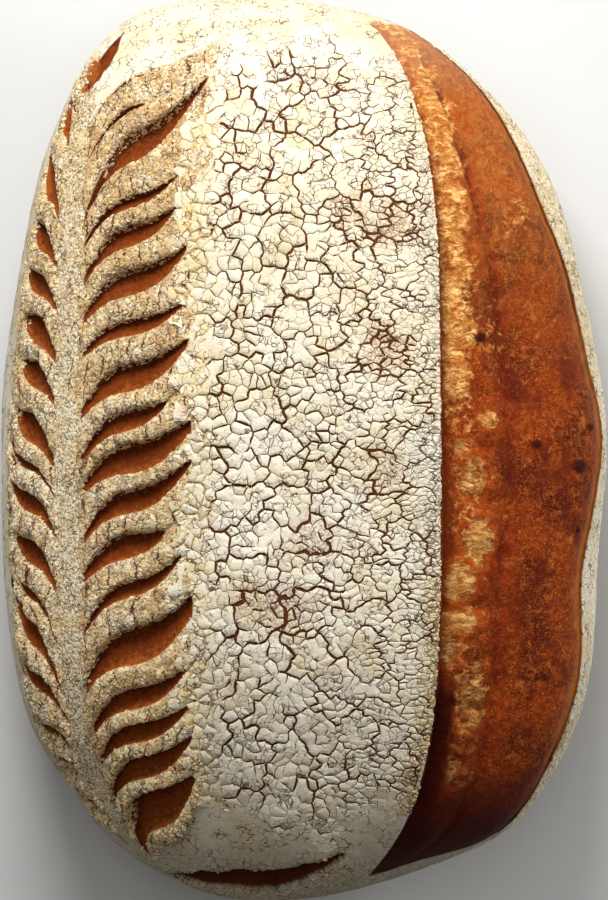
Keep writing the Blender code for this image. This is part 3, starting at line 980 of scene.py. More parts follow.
def scatterSites(random):
    # x and y of uneven plates, at least half their sizes apart
    tries = crackle["tries"]
    x, y = (random.uniform(*side, tries) for side in crackle["area"])
    room = crackle["room"] * crackleSpacing(x) * random.uniform(*crackle["unevenness"], tries)
    finest = crackle["spacing"][-1][1] * mm
    keep = random.uniform(size=tries) < (finest / crackleSpacing(x)) ** 1.5
    cell = 5.6 * mm  # wide enough that close plates are in the next cell at most
    grid, sites = {}, []
    for spot, near in zip(np.stack([narrowed(x), y], axis=1)[keep], room[keep]):
        i, j = int(np.floor(spot[0] / cell)), int(np.floor(spot[1] / cell))
        others = [k for a in (-1, 0, 1) for b in (-1, 0, 1) for k in grid.get((i + a, j + b), ())]
        if any(
            (sites[k][0] - spot[0]) ** 2 + (sites[k][1] - spot[1]) ** 2
            < ((sites[k][2] + near) / 2) ** 2
            for k in others
        ):
            continue
        grid.setdefault((i, j), []).append(len(sites))
        sites.append((*spot, near))
    return np.array(sites)[:, :2]


def crackCells(sites):
    # for every site: the corners of its cell in order, and the neighbour across each side
    result = geometry.delaunay_2d_cdt([Vector(site) for site in sites], [], [], 0, 1e-9)
    places = np.array([tuple(v) for v in result[0]])
    origin = [group[0] if group else -1 for group in result[3]]
    triangles = [face for face in result[2] if len(face) == 3]
    a, b, c = (places[[t[k] for t in triangles]] for k in range(3))
    ab, ac = b - a, c - a
    cross = 2 * (ab[:, 0] * ac[:, 1] - ab[:, 1] * ac[:, 0])
    cross = np.where(np.abs(cross) < 1e-14, 1e-14, cross)
    ab2, ac2 = (ab**2).sum(axis=1), (ac**2).sum(axis=1)
    x = ac[:, 1] * ab2 - ab[:, 1] * ac2
    y = ab[:, 0] * ac2 - ac[:, 0] * ab2
    centres = a + np.stack([x, y], axis=1) / cross[:, None]
    around = {}
    for index, triangle in enumerate(triangles):
        for vertex in triangle:
            around.setdefault(vertex, []).append(index)
    cells = {}
    for vertex, found in around.items():
        off = np.array([places[list(triangles[k])].mean(axis=0) for k in found]) - places[vertex]
        found = [found[k] for k in np.argsort(np.arctan2(off[:, 1], off[:, 0]))]
        sides = []
        for here, after in zip(found, found[1:] + found[:1]):
            shared = set(triangles[here]) & set(triangles[after]) - {vertex}
            sides.append(origin[shared.pop()] if len(shared) == 1 else -1)
        reach = np.linalg.norm(centres[found] - places[vertex], axis=1).max()
        if -1 not in sides and origin[vertex] >= 0 and reach < crackle["coarse"]:
            corners = centres[found]
            corners[:, 0] = widened(corners[:, 0])
            cells[origin[vertex]] = (corners, sides)
    return cells


def wander(spots):
    # the same bend for every crack that passes a place, so neighbours still match
    total = np.array(spots)
    for turn, (amount, size) in enumerate((crackle["warp"], crackle["fray"])):
        for axis in (0, 1):
            seed = 40 + axis + 2 * turn
            total[:, axis] += amount * flatGrain(spots[:, 0], spots[:, 1], size, seed)
    return total


def coarseCracks(random, sites):
    # which of the wide cracks' cells each plate lies in
    kept = []
    for spot in random.uniform(*crackle["coarseArea"], (crackle["coarseTries"], 2)):
        near = crackle["coarse"] * 0.75 * np.clip(crackleSpacing(spot[0]) / (3.4 * mm), 0.55, 1.1)
        if not kept or ((kept - spot) ** 2).sum(axis=1).min() > near**2:
            kept.append(spot)
    kept = np.array(kept)
    return [int(((kept - site) ** 2).sum(axis=1).argmin()) for site in sites]


def crackHalfWidth(one, other, coarseOf):
    # the luck of a crack is the same from both of its sides
    if coarseOf[one] != coarseOf[other]:
        return crackle["wideCrack"]
    luck = (min(one, other) * 7919 + max(one, other) * 104729) % 1000 / 1000
    openings = max(0.0, luck - crackle["shut"]) / (1 - crackle["shut"])
    return mixed(*crackle["thinCrack"], openings**2) if openings > 0 else 0.0


def cellRims(cells, coarseOf):
    # the edges of all cells as one run of points: places, half widths of their cracks, sizes
    spots, insets, sizes = [], [], []
    for site, (corners, sides) in cells.items():
        before = len(spots)
        for k, neighbour in enumerate(sides):
            start, end = corners[k], corners[(k + 1) % len(corners)]
            count = max(1, int(round(np.linalg.norm(end - start) / crackle["step"])))
            width = crackHalfWidth(site, neighbour, coarseOf)
            spots += [mixed(start, end, n / count) for n in range(count)]
            insets += [width] * count
        sizes.append(len(spots) - before)
    return np.array(spots), np.array(insets), sizes


def drawnIn(spots, insets, middle):
    # one cell's edge, drawn in by half of each crack's width
    insets = (insets + np.roll(insets, 1)) / 2
    tangent = np.roll(spots, -1, axis=0) - np.roll(spots, 1, axis=0)
    inward = unit(np.stack([-tangent[:, 1], tangent[:, 0]], axis=1))
    reach = np.linalg.norm(spots - middle, axis=1)
    return spots + inward * np.minimum(insets, reach * 0.4)[:, None], insets


def clearOfCuts(rims, middles, room):
    # draws the edges back towards their middles wherever they would hang over a cut
    for _ in range(6):  # a little at a time
        over = besideStrokes(rims)[1] < room
        rims[over] = mixed(rims[over], middles[over], 0.22)
    return rims


def thinAt(x, y):
    # 1 where the flour is thinnest
    total = np.zeros_like(x)
    rag = 0.35 * flatGrain(x, y, 5 * mm, 60)
    for cx, cy, radius in crackle["thinSpots"]:
        off = np.hypot(x / mm - cx, y / mm - cy) / radius
        total = np.maximum(total, smoothStep(1.3 - off + rag))
    return total


def keptSites(sites):
    # plates on the field and on the ends of the ropes, clear of the cuts and of the ear's edge
    x, y = sites.T
    share, gap, _ = besideStrokes(sites)
    along, _ = planPlace(sites)
    ropeEnd = crackle["ropeEnd"] + 0.06 * flatGrain(x, y, 4 * mm, 71)
    pastEar, clearance = crackle["siteEdges"]
    inside = (x < earLine(along) + pastEar) & (insideEnds(x, y) > 0)
    return set(np.flatnonzero(inside & (share > ropeEnd) & (gap > clearance)))


def crackWidths(insets, spots, thin, full):
    # half widths of the cracks: uneven, closed here and there, finer near the ear, and wider
    # where the flour is thin
    x, y = spots.T
    share, length = crackle["widthVaries"]
    vary = flatGrain(x, y, length, 50)
    length, seldom, sudden = crackle["closes"]
    closing = smoothStep((flatGrain(x, y, length, 51) + seldom) * sudden)
    fineness = 0.55 + 0.45 * crackleSpacing(x) / crackle["fullSize"]
    return insets * (1 + share * vary) * closing * fineness * (1 + 0.8 * thin) * full


def plateHeights(rims, thin, full):
    # uneven, and lower where the plates are small, where the flour is thin and at both ends
    x, y = rims.T
    share, length = crackle["heightVaries"]
    size = crackleSpacing(x)
    tall = crackle["thickness"] * (0.5 + 0.5 * size / crackle["fullSize"]) * (1 - 0.5 * thin)
    return tall * (1 + share * flatGrain(x, y, length, 53)) * (0.1 + 0.9 * full)


def withinEar(rims):
    # draws the plates back to a ragged line just past the ear's edge, and gives that line's x
    ear = earLine(planPlace(rims)[0]) + crackle["overhang"]
    amount, length = crackle["overhangVaries"]
    ragged = amount * flatGrain(rims[:, 0], rims[:, 1], length, 52)
    rims[:, 0] = np.minimum(rims[:, 0], ear + ragged)
    return ear


def buildPlates(material):
    random = np.random.default_rng(crackle["seed"])
    sites = scatterSites(random)
    cells = crackCells(sites)
    sites[:, 0] = widened(sites[:, 0])
    coarseOf = coarseCracks(random, sites)
    kept = keptSites(sites)
    cells = {site: cell for site, cell in cells.items() if site in kept}
    spots, insets, sizes = cellRims(cells, coarseOf)
    middles = np.repeat(sites[list(cells)], sizes, axis=0)
    thin = thinAt(spots[:, 0], spots[:, 1])
    full = smoothStep(insideEnds(spots[:, 0], spots[:, 1]) / crackle["fading"] + 0.1)
    insets = crackWidths(insets, spots, thin, full)
    spots = wander(spots)
    edges = np.cumsum([0, *sizes])
    parts = [slice(start, end) for start, end in zip(edges, edges[1:])]
    rims = np.array(spots)
    for part in parts:
        rims[part], insets[part] = drawnIn(spots[part], insets[part], middles[part][0])
    rims = clearOfCuts(rims, middles, crackle["clearance"])
    ear = withinEar(rims)
    surface, ways = uncutSurface(rims)
    tall = plateHeights(rims, thin, full)
    opened = np.clip(insets / crackle["fullyOpen"], 0, 1)
    plates = Gathered()
    for part, middle in zip(parts, middles[edges[:-1]]):
        toast = random.uniform(0.1, 0.4) * float(smoothStep(1 - (middle[0] / mm + 33) / 14))
        fine = smoothStep(1 - (ear[part].mean() - middle[0]) / crackle["fineBand"])
        marks = {"tone": random.uniform(), "thin": thin[part].mean(), "toast": toast, "fine": fine}
        addPlate(plates, surface[part], ways[part], tall[part], opened[part], marks)
    return plates.finish("flourPlates", material)


class Gathered:
    # many small bits in one mesh
    def __init__(self):
        self.points, self.faces, self.marks, self.count = [], [], {}, 0

    def add(self, points, faces, marks):
        self.faces += [[self.count + corner for corner in face] for face in faces]
        self.points.append(points)
        for name, value in marks.items():
            self.marks.setdefault(name, []).append(np.broadcast_to(value, len(points)))
        self.count += len(points)

    def finish(self, name, material, smooth=True):
        points = np.concatenate(self.points)
        low, high = points.min(axis=0), points.max(axis=0)
        spread = mapMargin + (1 - 2 * mapMargin) * (points - low) / (high - low).max()
        corners = spread[np.concatenate(self.faces)][:, :2]
        marks = {mark: np.concatenate(values) for mark, values in self.marks.items()}
        piece = makeObject(name, points, self.faces, material, marks, corners, smooth)
        print(name + ":", sum(len(face) - 2 for face in self.faces), "triangles")
        return piece


def ringFaces(size, low, high):
    return [(low + k, low + (k + 1) % size, high + (k + 1) % size, high + k) for k in range(size)]


def addPlate(plates, rim, ways, tall, opened, marks):
    # a flat plate with upright sides; its top keeps its own points, so that its edge stays sharp
    size = len(rim)
    middle = rim.mean(axis=0)
    reach = np.linalg.norm(rim - middle, axis=1)
    edge = rim + ways * (tall * (1 - 0.3 * opened))[:, None]
    share = np.clip(crackle["bevel"] / np.maximum(reach, 0.1 * mm), 0, 0.5)[:, None]
    top = mixed(rim, middle, share)
    grainTall, grainSize = crackle["topGrain"]
    top = top + ways * (tall + grainTall * grain(top, grainSize, 77))[:, None]
    tip = top.mean(axis=0)[None]
    faces = ringFaces(size, 0, size) + ringFaces(size, 2 * size, 3 * size)
    faces += [(3 * size + k, 3 * size + (k + 1) % size, 4 * size) for k in range(size)]
    points = np.concatenate([rim - ways * crackle["embed"], edge, edge, top, tip])
    marks["edge"] = np.concatenate([np.ones(2 * size), opened, np.zeros(size + 1)])
    plates.add(points, faces, marks)


# ---- crumbs of flour on the ropes, the spine and the rim ----

crumbs = {
    "seed": 5,
    "sides": 4,
    "rings": ((1.0, -0.35), (0.72, 0.34)),  # width and height of each, as shares
    # for each band: how far apart the crumbs lie in mm, and how toasted they are
    "bands": {
        "leafLeft": (0.80, 0.7), "spine": (0.66, 0.35), "leafRight": (0.83, 1.0),
        "field": (0.8, 0.9), "lip": (0.80, 0.12), "flankRight": (1.0, 0.08),
    },
    "onRim": 0.5,  # share of the rim that they cover
    "radius": (0.30, 1.25),  # smallest and largest, as shares of the gap
    "cracks": (4.4 * mm, 0.26 * mm),  # across the ropes: their spacing and half their width
    "rift": (0.7 * mm, 0.7 * mm),  # how far a crack's dip reaches, and how gradually
    # y where the floury spine starts and ends, and over what length
    "spineNear": (-119 * mm, 6 * mm),
    "spineFar": (112 * mm, 8 * mm),
}  # fmt: skip


def onSpine(points):
    y = points[:, 1]
    return rising(y, *crumbs["spineNear"]) * falling(y, *crumbs["spineFar"])


def crackTurn(points):
    # counts the cracks across a rope, one to each half turn
    turn = points[..., 0] / crumbs["cracks"][0] + 0.4 * grain(points, 5 * mm, 91)
    return turn + 0.7 * grain(points, 14 * mm, 92)


def fromCrack(points):
    # how far the nearest crack across a rope is
    spacing, half = crumbs["cracks"]
    off = np.abs(crackTurn(points) % 1 - 0.5) * spacing
    return off - half * (0.8 + 1.4 * grain(points, 6 * mm, 93))


def crumbPlaces(random, points, crumbly, bands):
    # spots on the crust, the way out of it there, and how wide and how toasted each crumb is
    names = [band for band, _ in gridColumns()]
    picked = [k for k, name in enumerate(names[:-1]) if name in bands]
    gap = np.array([crumbs["bands"][names[k]][0] for k in picked]) * mm
    toast = np.array([crumbs["bands"][names[k]][1] for k in picked])
    a, b = points[:-1][:, picked], points[1:][:, picked]
    c, d = points[1:][:, np.array(picked) + 1], points[:-1][:, np.array(picked) + 1]
    cross = np.cross(c - a, d - b)
    wanted = np.linalg.norm(cross, axis=-1) / 2 / gap**2 * crumbly[:-1][:, picked]
    found = []
    while wanted.max() > 0:
        row, column = np.nonzero(random.uniform(size=wanted.shape) < wanted)
        u, v = random.uniform(size=(2, len(row), 1))
        corners = [part[row, column] for part in (a, b, c, d)]
        spots = mixed(mixed(corners[0], corners[1], u), mixed(corners[3], corners[2], u), v)
        found.append((spots, unit(cross[row, column]), gap[column], toast[column]))
        wanted = wanted - 1
    return [np.concatenate(part) for part in zip(*found)]


def crumbBits(random, spots, ways, radius, flat):
    # the points of every crumb: an uneven ring sunk in the crust, one above it, and a tip
    count, sides = len(spots), crumbs["sides"]
    first = unit(np.cross(ways, np.array((0.3, 1.0, 0.2))))
    second = np.cross(ways, first)
    angle = 2 * np.pi * (np.arange(sides) + random.uniform(-0.3, 0.3, (count, sides))) / sides
    angle = angle + random.uniform(0, 6, (count, 1))
    ring = np.cos(angle)[..., None] * first[:, None]
    ring = ring + np.sin(angle)[..., None] * second[:, None]
    layers = []
    for wide, tall in crumbs["rings"]:
        reach = (radius[:, None] * wide * random.uniform(0.55, 1.35, (count, sides)))[..., None]
        lift = (radius * flat)[:, None] * tall * random.uniform(0.3, 1.4, (count, sides))
        layers.append(spots[:, None] + ring * reach + ways[:, None] * lift[..., None])
    tip = spots + ways * (radius * flat * random.uniform(0.2, 0.6, count))[:, None]
    return np.concatenate([*layers, tip[:, None]], axis=1)


def crumbToast(random, spots, toast):
    # browned in patches, and more beyond the middle
    patch = smoothStep(0.5 + 1.6 * roughGrain(spots, 4.5 * mm, 95))
    upper = mixed(0.75, 1.05, rising(spots[:, 1], 10 * mm, 80 * mm))
    return toast * (0.24 + patch * upper * random.uniform(0.5, 1.5, len(spots)))


def buildCrumbs(name, material, points, crumbly, bands, seed):
    random = np.random.default_rng(crumbs["seed"] + seed)
    spots, ways, gap, toast = crumbPlaces(random, points, crumbly, bands)
    least, most = crumbs["radius"]
    radius = gap * mixed(least, most, random.uniform(size=len(spots)) ** 1.6)
    if "leafRight" in bands:
        kept = fromCrack(spots) > 0.4 * radius
        spots, ways, gap, toast, radius = (
            part[kept] for part in (spots, ways, gap, toast, radius)
        )
    flat = 0.8 * (0.55 * gap / radius) ** 0.55  # the large ones are flatter
    bits = crumbBits(random, spots, ways, radius, flat)
    count, sides, size = len(spots), crumbs["sides"], bits.shape[1]
    cap = [(sides + k, sides + (k + 1) % sides, 2 * sides) for k in range(sides)]
    start = np.arange(count)[:, None] * size
    faces = [
        list(corner)
        for shape in ringFaces(sides, 0, sides) + cap
        for corner in (start + np.array(shape)).tolist()
    ]
    each = np.repeat(crumbToast(random, spots, toast), size)
    low = np.tile([1.0] * sides + [0.25] * sides + [0.0], count)
    tone = np.repeat(random.uniform(size=count), size)
    marks = {"tone": tone, "thin": 0.0, "toast": each, "edge": low, "fine": 0.0}
    pieces = Gathered()
    pieces.add(bits.reshape(-1, 3), faces, marks)
    print("  " + name + ":", count, "crumbs")
    return pieces.finish(name, material, False)


# ---- materials ----


def newMaterial(name):
    material = bpy.data.materials.new(name)
    material.use_nodes = True
    tree = material.node_tree
    tree.nodes.clear()
    output = tree.nodes.new("ShaderNodeOutputMaterial")
    surface = tree.nodes.new("ShaderNodeBsdfPrincipled")
    tree.links.new(surface.outputs[0], output.inputs[0])
    return material, tree, surface


def addNode(tree, kind, inputs=None, **settings):
    node = tree.nodes.new("ShaderNode" + kind)
    for name, value in settings.items():
        setattr(node, name, value)
    for name, value in (inputs or {}).items():
        if isinstance(value, bpy.types.NodeSocket):
            tree.links.new(value, node.inputs[name])
        else:
            node.inputs[name].default_value = value
    return node


def mark(tree, name):
    return addNode(tree, "Attribute", attribute_name=name).outputs["Fac"]


def position(tree):
    return addNode(tree, "NewGeometry").outputs["Position"]


def lengthwise(tree, place):
    return addNode(tree, "SeparateXYZ", {0: place}).outputs[1]


def squeezed(tree, place, scale):
    return addNode(tree, "VectorMath", {0: place, 1: scale}, operation="MULTIPLY").outputs[0]


def noiseAt(tree, place, scale, detail=3.0, rough=0.55, distortion=0.0):
    inputs = {"Vector": place, "Scale": scale, "Detail": detail, "Roughness": rough}
    inputs["Distortion"] = distortion
    return addNode(tree, "TexNoise", inputs).outputs[0]


def warped(tree, place, scale, amount):
    # the place shifted about by smooth noise, so that lines drawn with it wander
    shift = addNode(tree, "TexNoise", {"Vector": place, "Scale": scale, "Detail": 2.0}).outputs[1]
    inputs = {0: shift, 1: (amount, amount, amount), 2: place}
    return addNode(tree, "VectorMath", inputs, operation="MULTIPLY_ADD").outputs[0]


def crackLines(tree, place, scale):
    # distance to the nearest border of a net of cells
    inputs = {"Vector": place, "Scale": scale}
    return addNode(tree, "TexVoronoi", inputs, feature="DISTANCE_TO_EDGE").outputs[0]


def maths(tree, operation, first, second=0.0, clamp=False):
    inputs = {0: first, 1: second}
    return addNode(tree, "Math", inputs, operation=operation, use_clamp=clamp).outputs[0]


def times(tree, first, second, clamp=False):
    return maths(tree, "MULTIPLY", first, second, clamp)


def remap(tree, value, low, high, lowOut=0.0, highOut=1.0):
    inputs = {0: value, 1: low, 2: high, 3: lowOut, 4: highOut}
    return addNode(tree, "MapRange", inputs, interpolation_type="SMOOTHSTEP").outputs[0]


def blendColour(tree, share, first, second):
    node = addNode(tree, "Mix", data_type="RGBA")
    for place, value in ((0, share), (6, first), (7, second)):
        if isinstance(value, bpy.types.NodeSocket):
            tree.links.new(value, node.inputs[place])
        else:
            node.inputs[place].default_value = value if place == 0 else (*value, 1)
    return node.outputs[2]


def layered(tree, colour, layers):
    # colours laid over each other in turn, each by its own share
    for share, over in layers:
        colour = blendColour(tree, share, colour, over)
    return colour


def bumpOf(tree, height, strength, distance, normal=None):
    inputs = {"Height": height, "Strength": strength, "Distance": distance}
    if normal is not None:
        inputs["Normal"] = normal
    return addNode(tree, "Bump", inputs).outputs[0]


flourLook = {
    "white": (0.86, 0.80, 0.65),
    "cream": (0.77, 0.66, 0.44),
    # painted shade for the pits of the fine grain
    "pitShade": (0.38, 0.32, 0.24),
    "golden": (0.78, 0.60, 0.31),
    "toasted": (0.52, 0.30, 0.11),
    "bare": (0.34, 0.165, 0.075),
    # painted shade towards the near end
    "nearEndShade": (0.23, 0.190, 0.115),
    "far": (0.58, 0.44, 0.23),
    "crack": (0.09, 0.032, 0.012),
    "roughness": 0.92,
}


def flourColour(tree, place):
    # creamy white, greyer in the pits of its fine grain as painted shade, darker towards the near
    # end as painted shade, and warm beyond the middle, with hairline cracks here and there
    look = flourLook
    cloud = noiseAt(tree, place, 75.0, 4.0)
    speck = noiseAt(tree, place, 1500.0, 3.0, 0.75)
    ahead = lengthwise(tree, place)
    warm = remap(tree, ahead, 0.0, 0.06, 0.0, 0.42)
    warm = times(tree, warm, remap(tree, ahead, 0.08, 0.13, 1.0, 0.5))
    layers = [
        (remap(tree, cloud, 0.36, 0.60), look["white"]),
        # painted shade: greyer where the fine grain's bump has its pits
        (remap(tree, speck, 0.34, 0.52, 0.55, 0.0), look["pitShade"]),
        # painted shade: darker towards the near end, away from the lamps
        (remap(tree, ahead, -0.145, -0.02, 0.62, 0.0), look["nearEndShade"]),
        (warm, look["far"]),
    ]
    colour = layered(tree, look["cream"], layers)
    net = crackLines(tree, warped(tree, place, 260.0, 0.0035), 430.0)
    hair = remap(tree, net, 0.015, 0.065, 0.85, 0.0)
    some = remap(tree, noiseAt(tree, place, 210.0, 2.0), 0.45, 0.58)
    some = maths(tree, "MAXIMUM", some, remap(tree, ahead, -0.128, -0.117, 0.8, 0.0))
    hair = times(tree, hair, some)
    return colour, cloud, speck, hair


def flourMaterial():
    # plates and crumbs of dried rice flour: creamy at their edges, browned in places, and
    # finely cracked beside the ear
    look = flourLook
    material, tree, surface = newMaterial("crackledFlour")
    place = position(tree)
    colour, cloud, speck, hair = flourColour(tree, place)
    patch = noiseAt(tree, place, 330.0, 4.0, 0.6)
    ahead = lengthwise(tree, place)
    edge = times(tree, mark(tree, "edge"), remap(tree, speck, 0.3, 0.7, 0.3, 0.9))
    toast = times(tree, mark(tree, "toast"), remap(tree, patch, 0.36, 0.64, 0.5, 1.6))
    thin = times(tree, mark(tree, "thin"), remap(tree, speck, 0.40, 0.58, 0.75, 0.05))
    fine = mark(tree, "fine")
    bent = squeezed(tree, warped(tree, place, 420.0, 0.0022), (0.6, 1.0, 0.6))
    mesh = remap(tree, crackLines(tree, bent, 850.0), 0.04, 0.14, 0.95, 0.0)
    mesh = times(tree, mesh, fine)
    mesh = times(tree, mesh, remap(tree, ahead, -0.02, 0.03, 1.0, 0.4))
    mesh = times(tree, mesh, remap(tree, cloud, 0.35, 0.55, 0.45, 1.0))
    hair = maths(tree, "MAXIMUM", hair, mesh)
    creamy = times(tree, fine, remap(tree, ahead, -0.05, -0.015, 1.1, 0.0))
    creamy = times(tree, creamy, remap(tree, patch, 0.40, 0.58, 0.4, 1.0))
    layers = [
        (remap(tree, mark(tree, "tone"), 0.0, 1.0, 0.0, 0.55), look["white"]),
        (edge, look["cream"]),
        (remap(tree, toast, 0.0, 0.6, 0.0, 0.9), look["golden"]),
        (remap(tree, toast, 0.45, 1.4, 0.0, 0.9), look["toasted"]),
        (thin, look["bare"]),
        (creamy, look["golden"]),
        (hair, look["crack"]),
    ]
    colour = layered(tree, colour, layers)
    tree.links.new(colour, surface.inputs["Base Color"])
    surface.inputs["Roughness"].default_value = look["roughness"]
    surface.inputs["Specular IOR Level"].default_value = 0.15
    grained = bumpOf(tree, speck, 0.7, 0.0005)
    cracked = bumpOf(tree, hair, 0.6, -0.0004, grained)
    tree.links.new(cracked, surface.inputs["Normal"])
    return material


crustLook = {
    "burst": (0.235, 0.027, 0.002),
    "burstDark": (0.080, 0.008, 0.002),
    "burstLight": (0.370, 0.070, 0.006),
    "speckled": (0.520, 0.160, 0.030),
    # orange of the strip beside the ear, lighter partly as painted light against the ear's shadow
    "margin": (0.300, 0.056, 0.006),
    "window": (0.300, 0.070, 0.010),
    "thread": (0.330, 0.040, 0.004),
    "pale": (0.710, 0.285, 0.055),
    "palest": (0.910, 0.570, 0.220),
    # orange inside the rim, partly painted light
    "lip": (0.440, 0.130, 0.016),
    "pane": (0.560, 0.235, 0.052),
    "paneDeep": (0.255, 0.092, 0.016),
    "hem": (0.460, 0.075, 0.008),
    "stain": (0.034, 0.003, 0.002),
    "dusted": (0.760, 0.520, 0.330),
    # painted light towards the far end
    "paintedFarLight": (0.560, 0.190, 0.040),
    "maroon": (0.110, 0.012, 0.004),
    "curl": (0.460, 0.150, 0.020),
    # painted shade in the crease and under the ear's edge
    "crease": (0.135, 0.011, 0.003),
    "blister": (0.038, 0.004, 0.002),
    # painted shadow and painted light across a cut's floor, with the cut's own brown between
    "cutShadowPainted": (0.085, 0.018, 0.004),
    "cut": (0.200, 0.038, 0.006),
    "cutLitPainted": (0.360, 0.098, 0.017),
    # brown crust in the cracks, darkened partly as painted shade in the narrow gaps
    "between": (0.095, 0.030, 0.010),
    "ropeBase": (0.200, 0.095, 0.034),
    "split": (0.090, 0.018, 0.005),
    "under": (0.230, 0.090, 0.030),
}


# fine marks of the burst: scale, detail, roughness and distortion of each
burstGrain = {
    "patch": (62.0, 4.0, 0.6),
    "cloud": (95.0, 3.0, 0.55),
    "path": (120.0, 3.0, 0.5, 0.4),
    "curl": (230.0, 3.0, 0.5, 1.2),
    "clump": (300.0, 3.0, 0.6),
    "mottle": (420.0, 5.0, 0.65, 0.5),
    "fleck": (1250.0, 3.0, 0.6, 1.4),
    "fibre": (1400.0, 4.0, 0.6),
}


def doughColour(tree, place, noises):
    # reddish brown dough, mottled and flecked, with painted light making it lighter beyond the
    # middle
    look = crustLook
    patch, mottle, fleck, curl, _ = noises
    margin, nearness = mark(tree, "margin"), mark(tree, "nearness")
    plain = remap(tree, margin, 0.1, 0.9, 1.0, 0.12)
    cloud = noiseAt(tree, squeezed(tree, place, (1.0, 0.6, 1.0)), *burstGrain["cloud"])
    light = times(tree, remap(tree, mottle, 0.48, 0.66, 0.0, 0.7), plain)
    dark = times(tree, remap(tree, mottle, 0.30, 0.50, 1.0, 0.0), plain)
    # more dark mottle towards the near end: partly charring, partly painted shade
    dark = times(tree, dark, remap(tree, nearness, -0.8, 0.1, 0.12, 0.34))
    flecks = times(tree, remap(tree, fleck, 0.51, 0.63, 0.0, 0.6), plain)
    maroon = times(tree, remap(tree, cloud, 0.52, 0.70, 0.0, 0.75), plain)
    curled = remap(tree, curl, 0.56, 0.66, 0.0, 0.7)
    curled = times(tree, curled, remap(tree, cloud, 0.45, 0.35))
    # the strip beside the ear: its own orange, lighter partly as painted light against the ear's
    # shadow
    smooth = times(tree, margin, remap(tree, patch, 0.35, 0.65, 1.0, 0.35))
    # painted light: lighter towards the far end, where the lamps are
    paintedFarLight = remap(tree, nearness, -0.85, -0.10, 0.55, 0.0)
    paintedFarLight = times(tree, paintedFarLight, remap(tree, mottle, 0.32, 0.60, 0.45, 1.0))
    # painted shade in the crease and under the ear's edge
    crease = times(tree, mark(tree, "crease"), remap(tree, mottle, 0.35, 0.6, 0.95, 0.5))
    layers = [
        (remap(tree, patch, 0.36, 0.60), look["burst"]),
        (light, look["burstLight"]),
        (dark, look["burstDark"]),
        (flecks, look["speckled"]),
        (maroon, look["maroon"]),
        (curled, look["curl"]),
        (smooth, look["margin"]),
        (paintedFarLight, look["paintedFarLight"]),
        (crease, look["crease"]),
    ]
    return layered(tree, look["burstDark"], layers)


def paneColour(tree, fibre, clump, pane):
    # skin drawn so thin that the dough behind it shows
    look = crustLook
    lit = times(tree, remap(tree, pane, 0.5, 0.95), remap(tree, clump, 0.38, 0.58, 0.35, 1.0))
    layers = [
        (lit, look["pane"]),
        (remap(tree, fibre, 0.47, 0.62, 0.0, 0.5), look["palest"]),
        (remap(tree, fibre, 0.34, 0.44, 0.7, 0.0), look["margin"]),
    ]
    return layered(tree, look["paneDeep"], layers)


def burstColour(tree, place):
    # the opened dough, drawn out into pale windows with fine rungs, and darker at its near end:
    # partly charred crust, partly painted shade
    look = crustLook
    noises = [
        noiseAt(tree, place, *burstGrain[name])
        for name in ("patch", "mottle", "fleck", "curl", "clump")
    ]
    _, mottle, fleck, curl, clump = noises

    path = noiseAt(tree, squeezed(tree, place, (1.0, 0.30, 1.0)), *burstGrain["path"])
    off = maths(tree, "ABSOLUTE", maths(tree, "SUBTRACT", path, 0.5))
    veins = times(tree, remap(tree, off, 0.006, 0.032, 0.5, 0.0), mark(tree, "veined"))
    # painted light: the rim's steep side is brightened where the lamps hardly reach
    litStrip = times(tree, mark(tree, "lipPaintedLight"), remap(tree, mottle, 0.35, 0.55, 0.5, 0.95))

    bent = warped(tree, place, 260.0, 0.005)
    fibre = noiseAt(tree, squeezed(tree, bent, (0.26, 1.0, 0.26)), *burstGrain["fibre"])
    opened = maths(tree, "ADD", mark(tree, "pale"), remap(tree, mottle, 0.3, 0.7, -0.4, 0.4))
    opened = remap(tree, opened, 0.25, 1.0)
    opened = times(tree, opened, remap(tree, clump, 0.34, 0.54, 0.5, 1.0))
    strands = times(tree, remap(tree, fibre, 0.46, 0.60), opened)
    strands = times(tree, strands, remap(tree, clump, 0.42, 0.60, 0.3, 1.0))
    rungs = times(tree, remap(tree, fibre, 0.34, 0.45, 0.85, 0.0), opened)
    pane = mark(tree, "pane")
    ragged = maths(tree, "ADD", pane, remap(tree, curl, 0.35, 0.65, -0.25, 0.15))
    hemmed = times(tree, mark(tree, "hem"), remap(tree, mottle, 0.3, 0.6, 1.0, 0.55))

    nearness = mark(tree, "nearness")
    layers = [
        (veins, look["thread"]),
        (litStrip, look["lip"]),
        (times(tree, opened, 0.85), look["pale"]),
        (strands, look["palest"]),
        (rungs, look["window"]),
        (remap(tree, ragged, 0.2, 0.8, 0.0, 0.72), paneColour(tree, fibre, clump, pane)),
        (hemmed, look["hem"]),
        (times(tree, mark(tree, "stain"), 0.9), look["stain"]),
        (remap(tree, nearness, -0.98, -0.72, 0.2, 0.0), look["dusted"]),
        (mark(tree, "lipLine"), look["blister"]),
        # darker towards the near end: partly charred crust, partly painted shade of the lamps'
        # falloff
        (remap(tree, nearness, 0.50, 0.92, 0.0, 0.95), look["burstDark"]),
        (remap(tree, nearness, 0.66, 0.86, 0.0, 0.95), look["blister"]),
        (remap(tree, mark(tree, "blister"), 0.0, 1.0, 0.0, 0.92), look["blister"]),
    ]
    colour = layered(tree, doughColour(tree, place, noises), layers)
    return colour, fleck, rungs, mottle


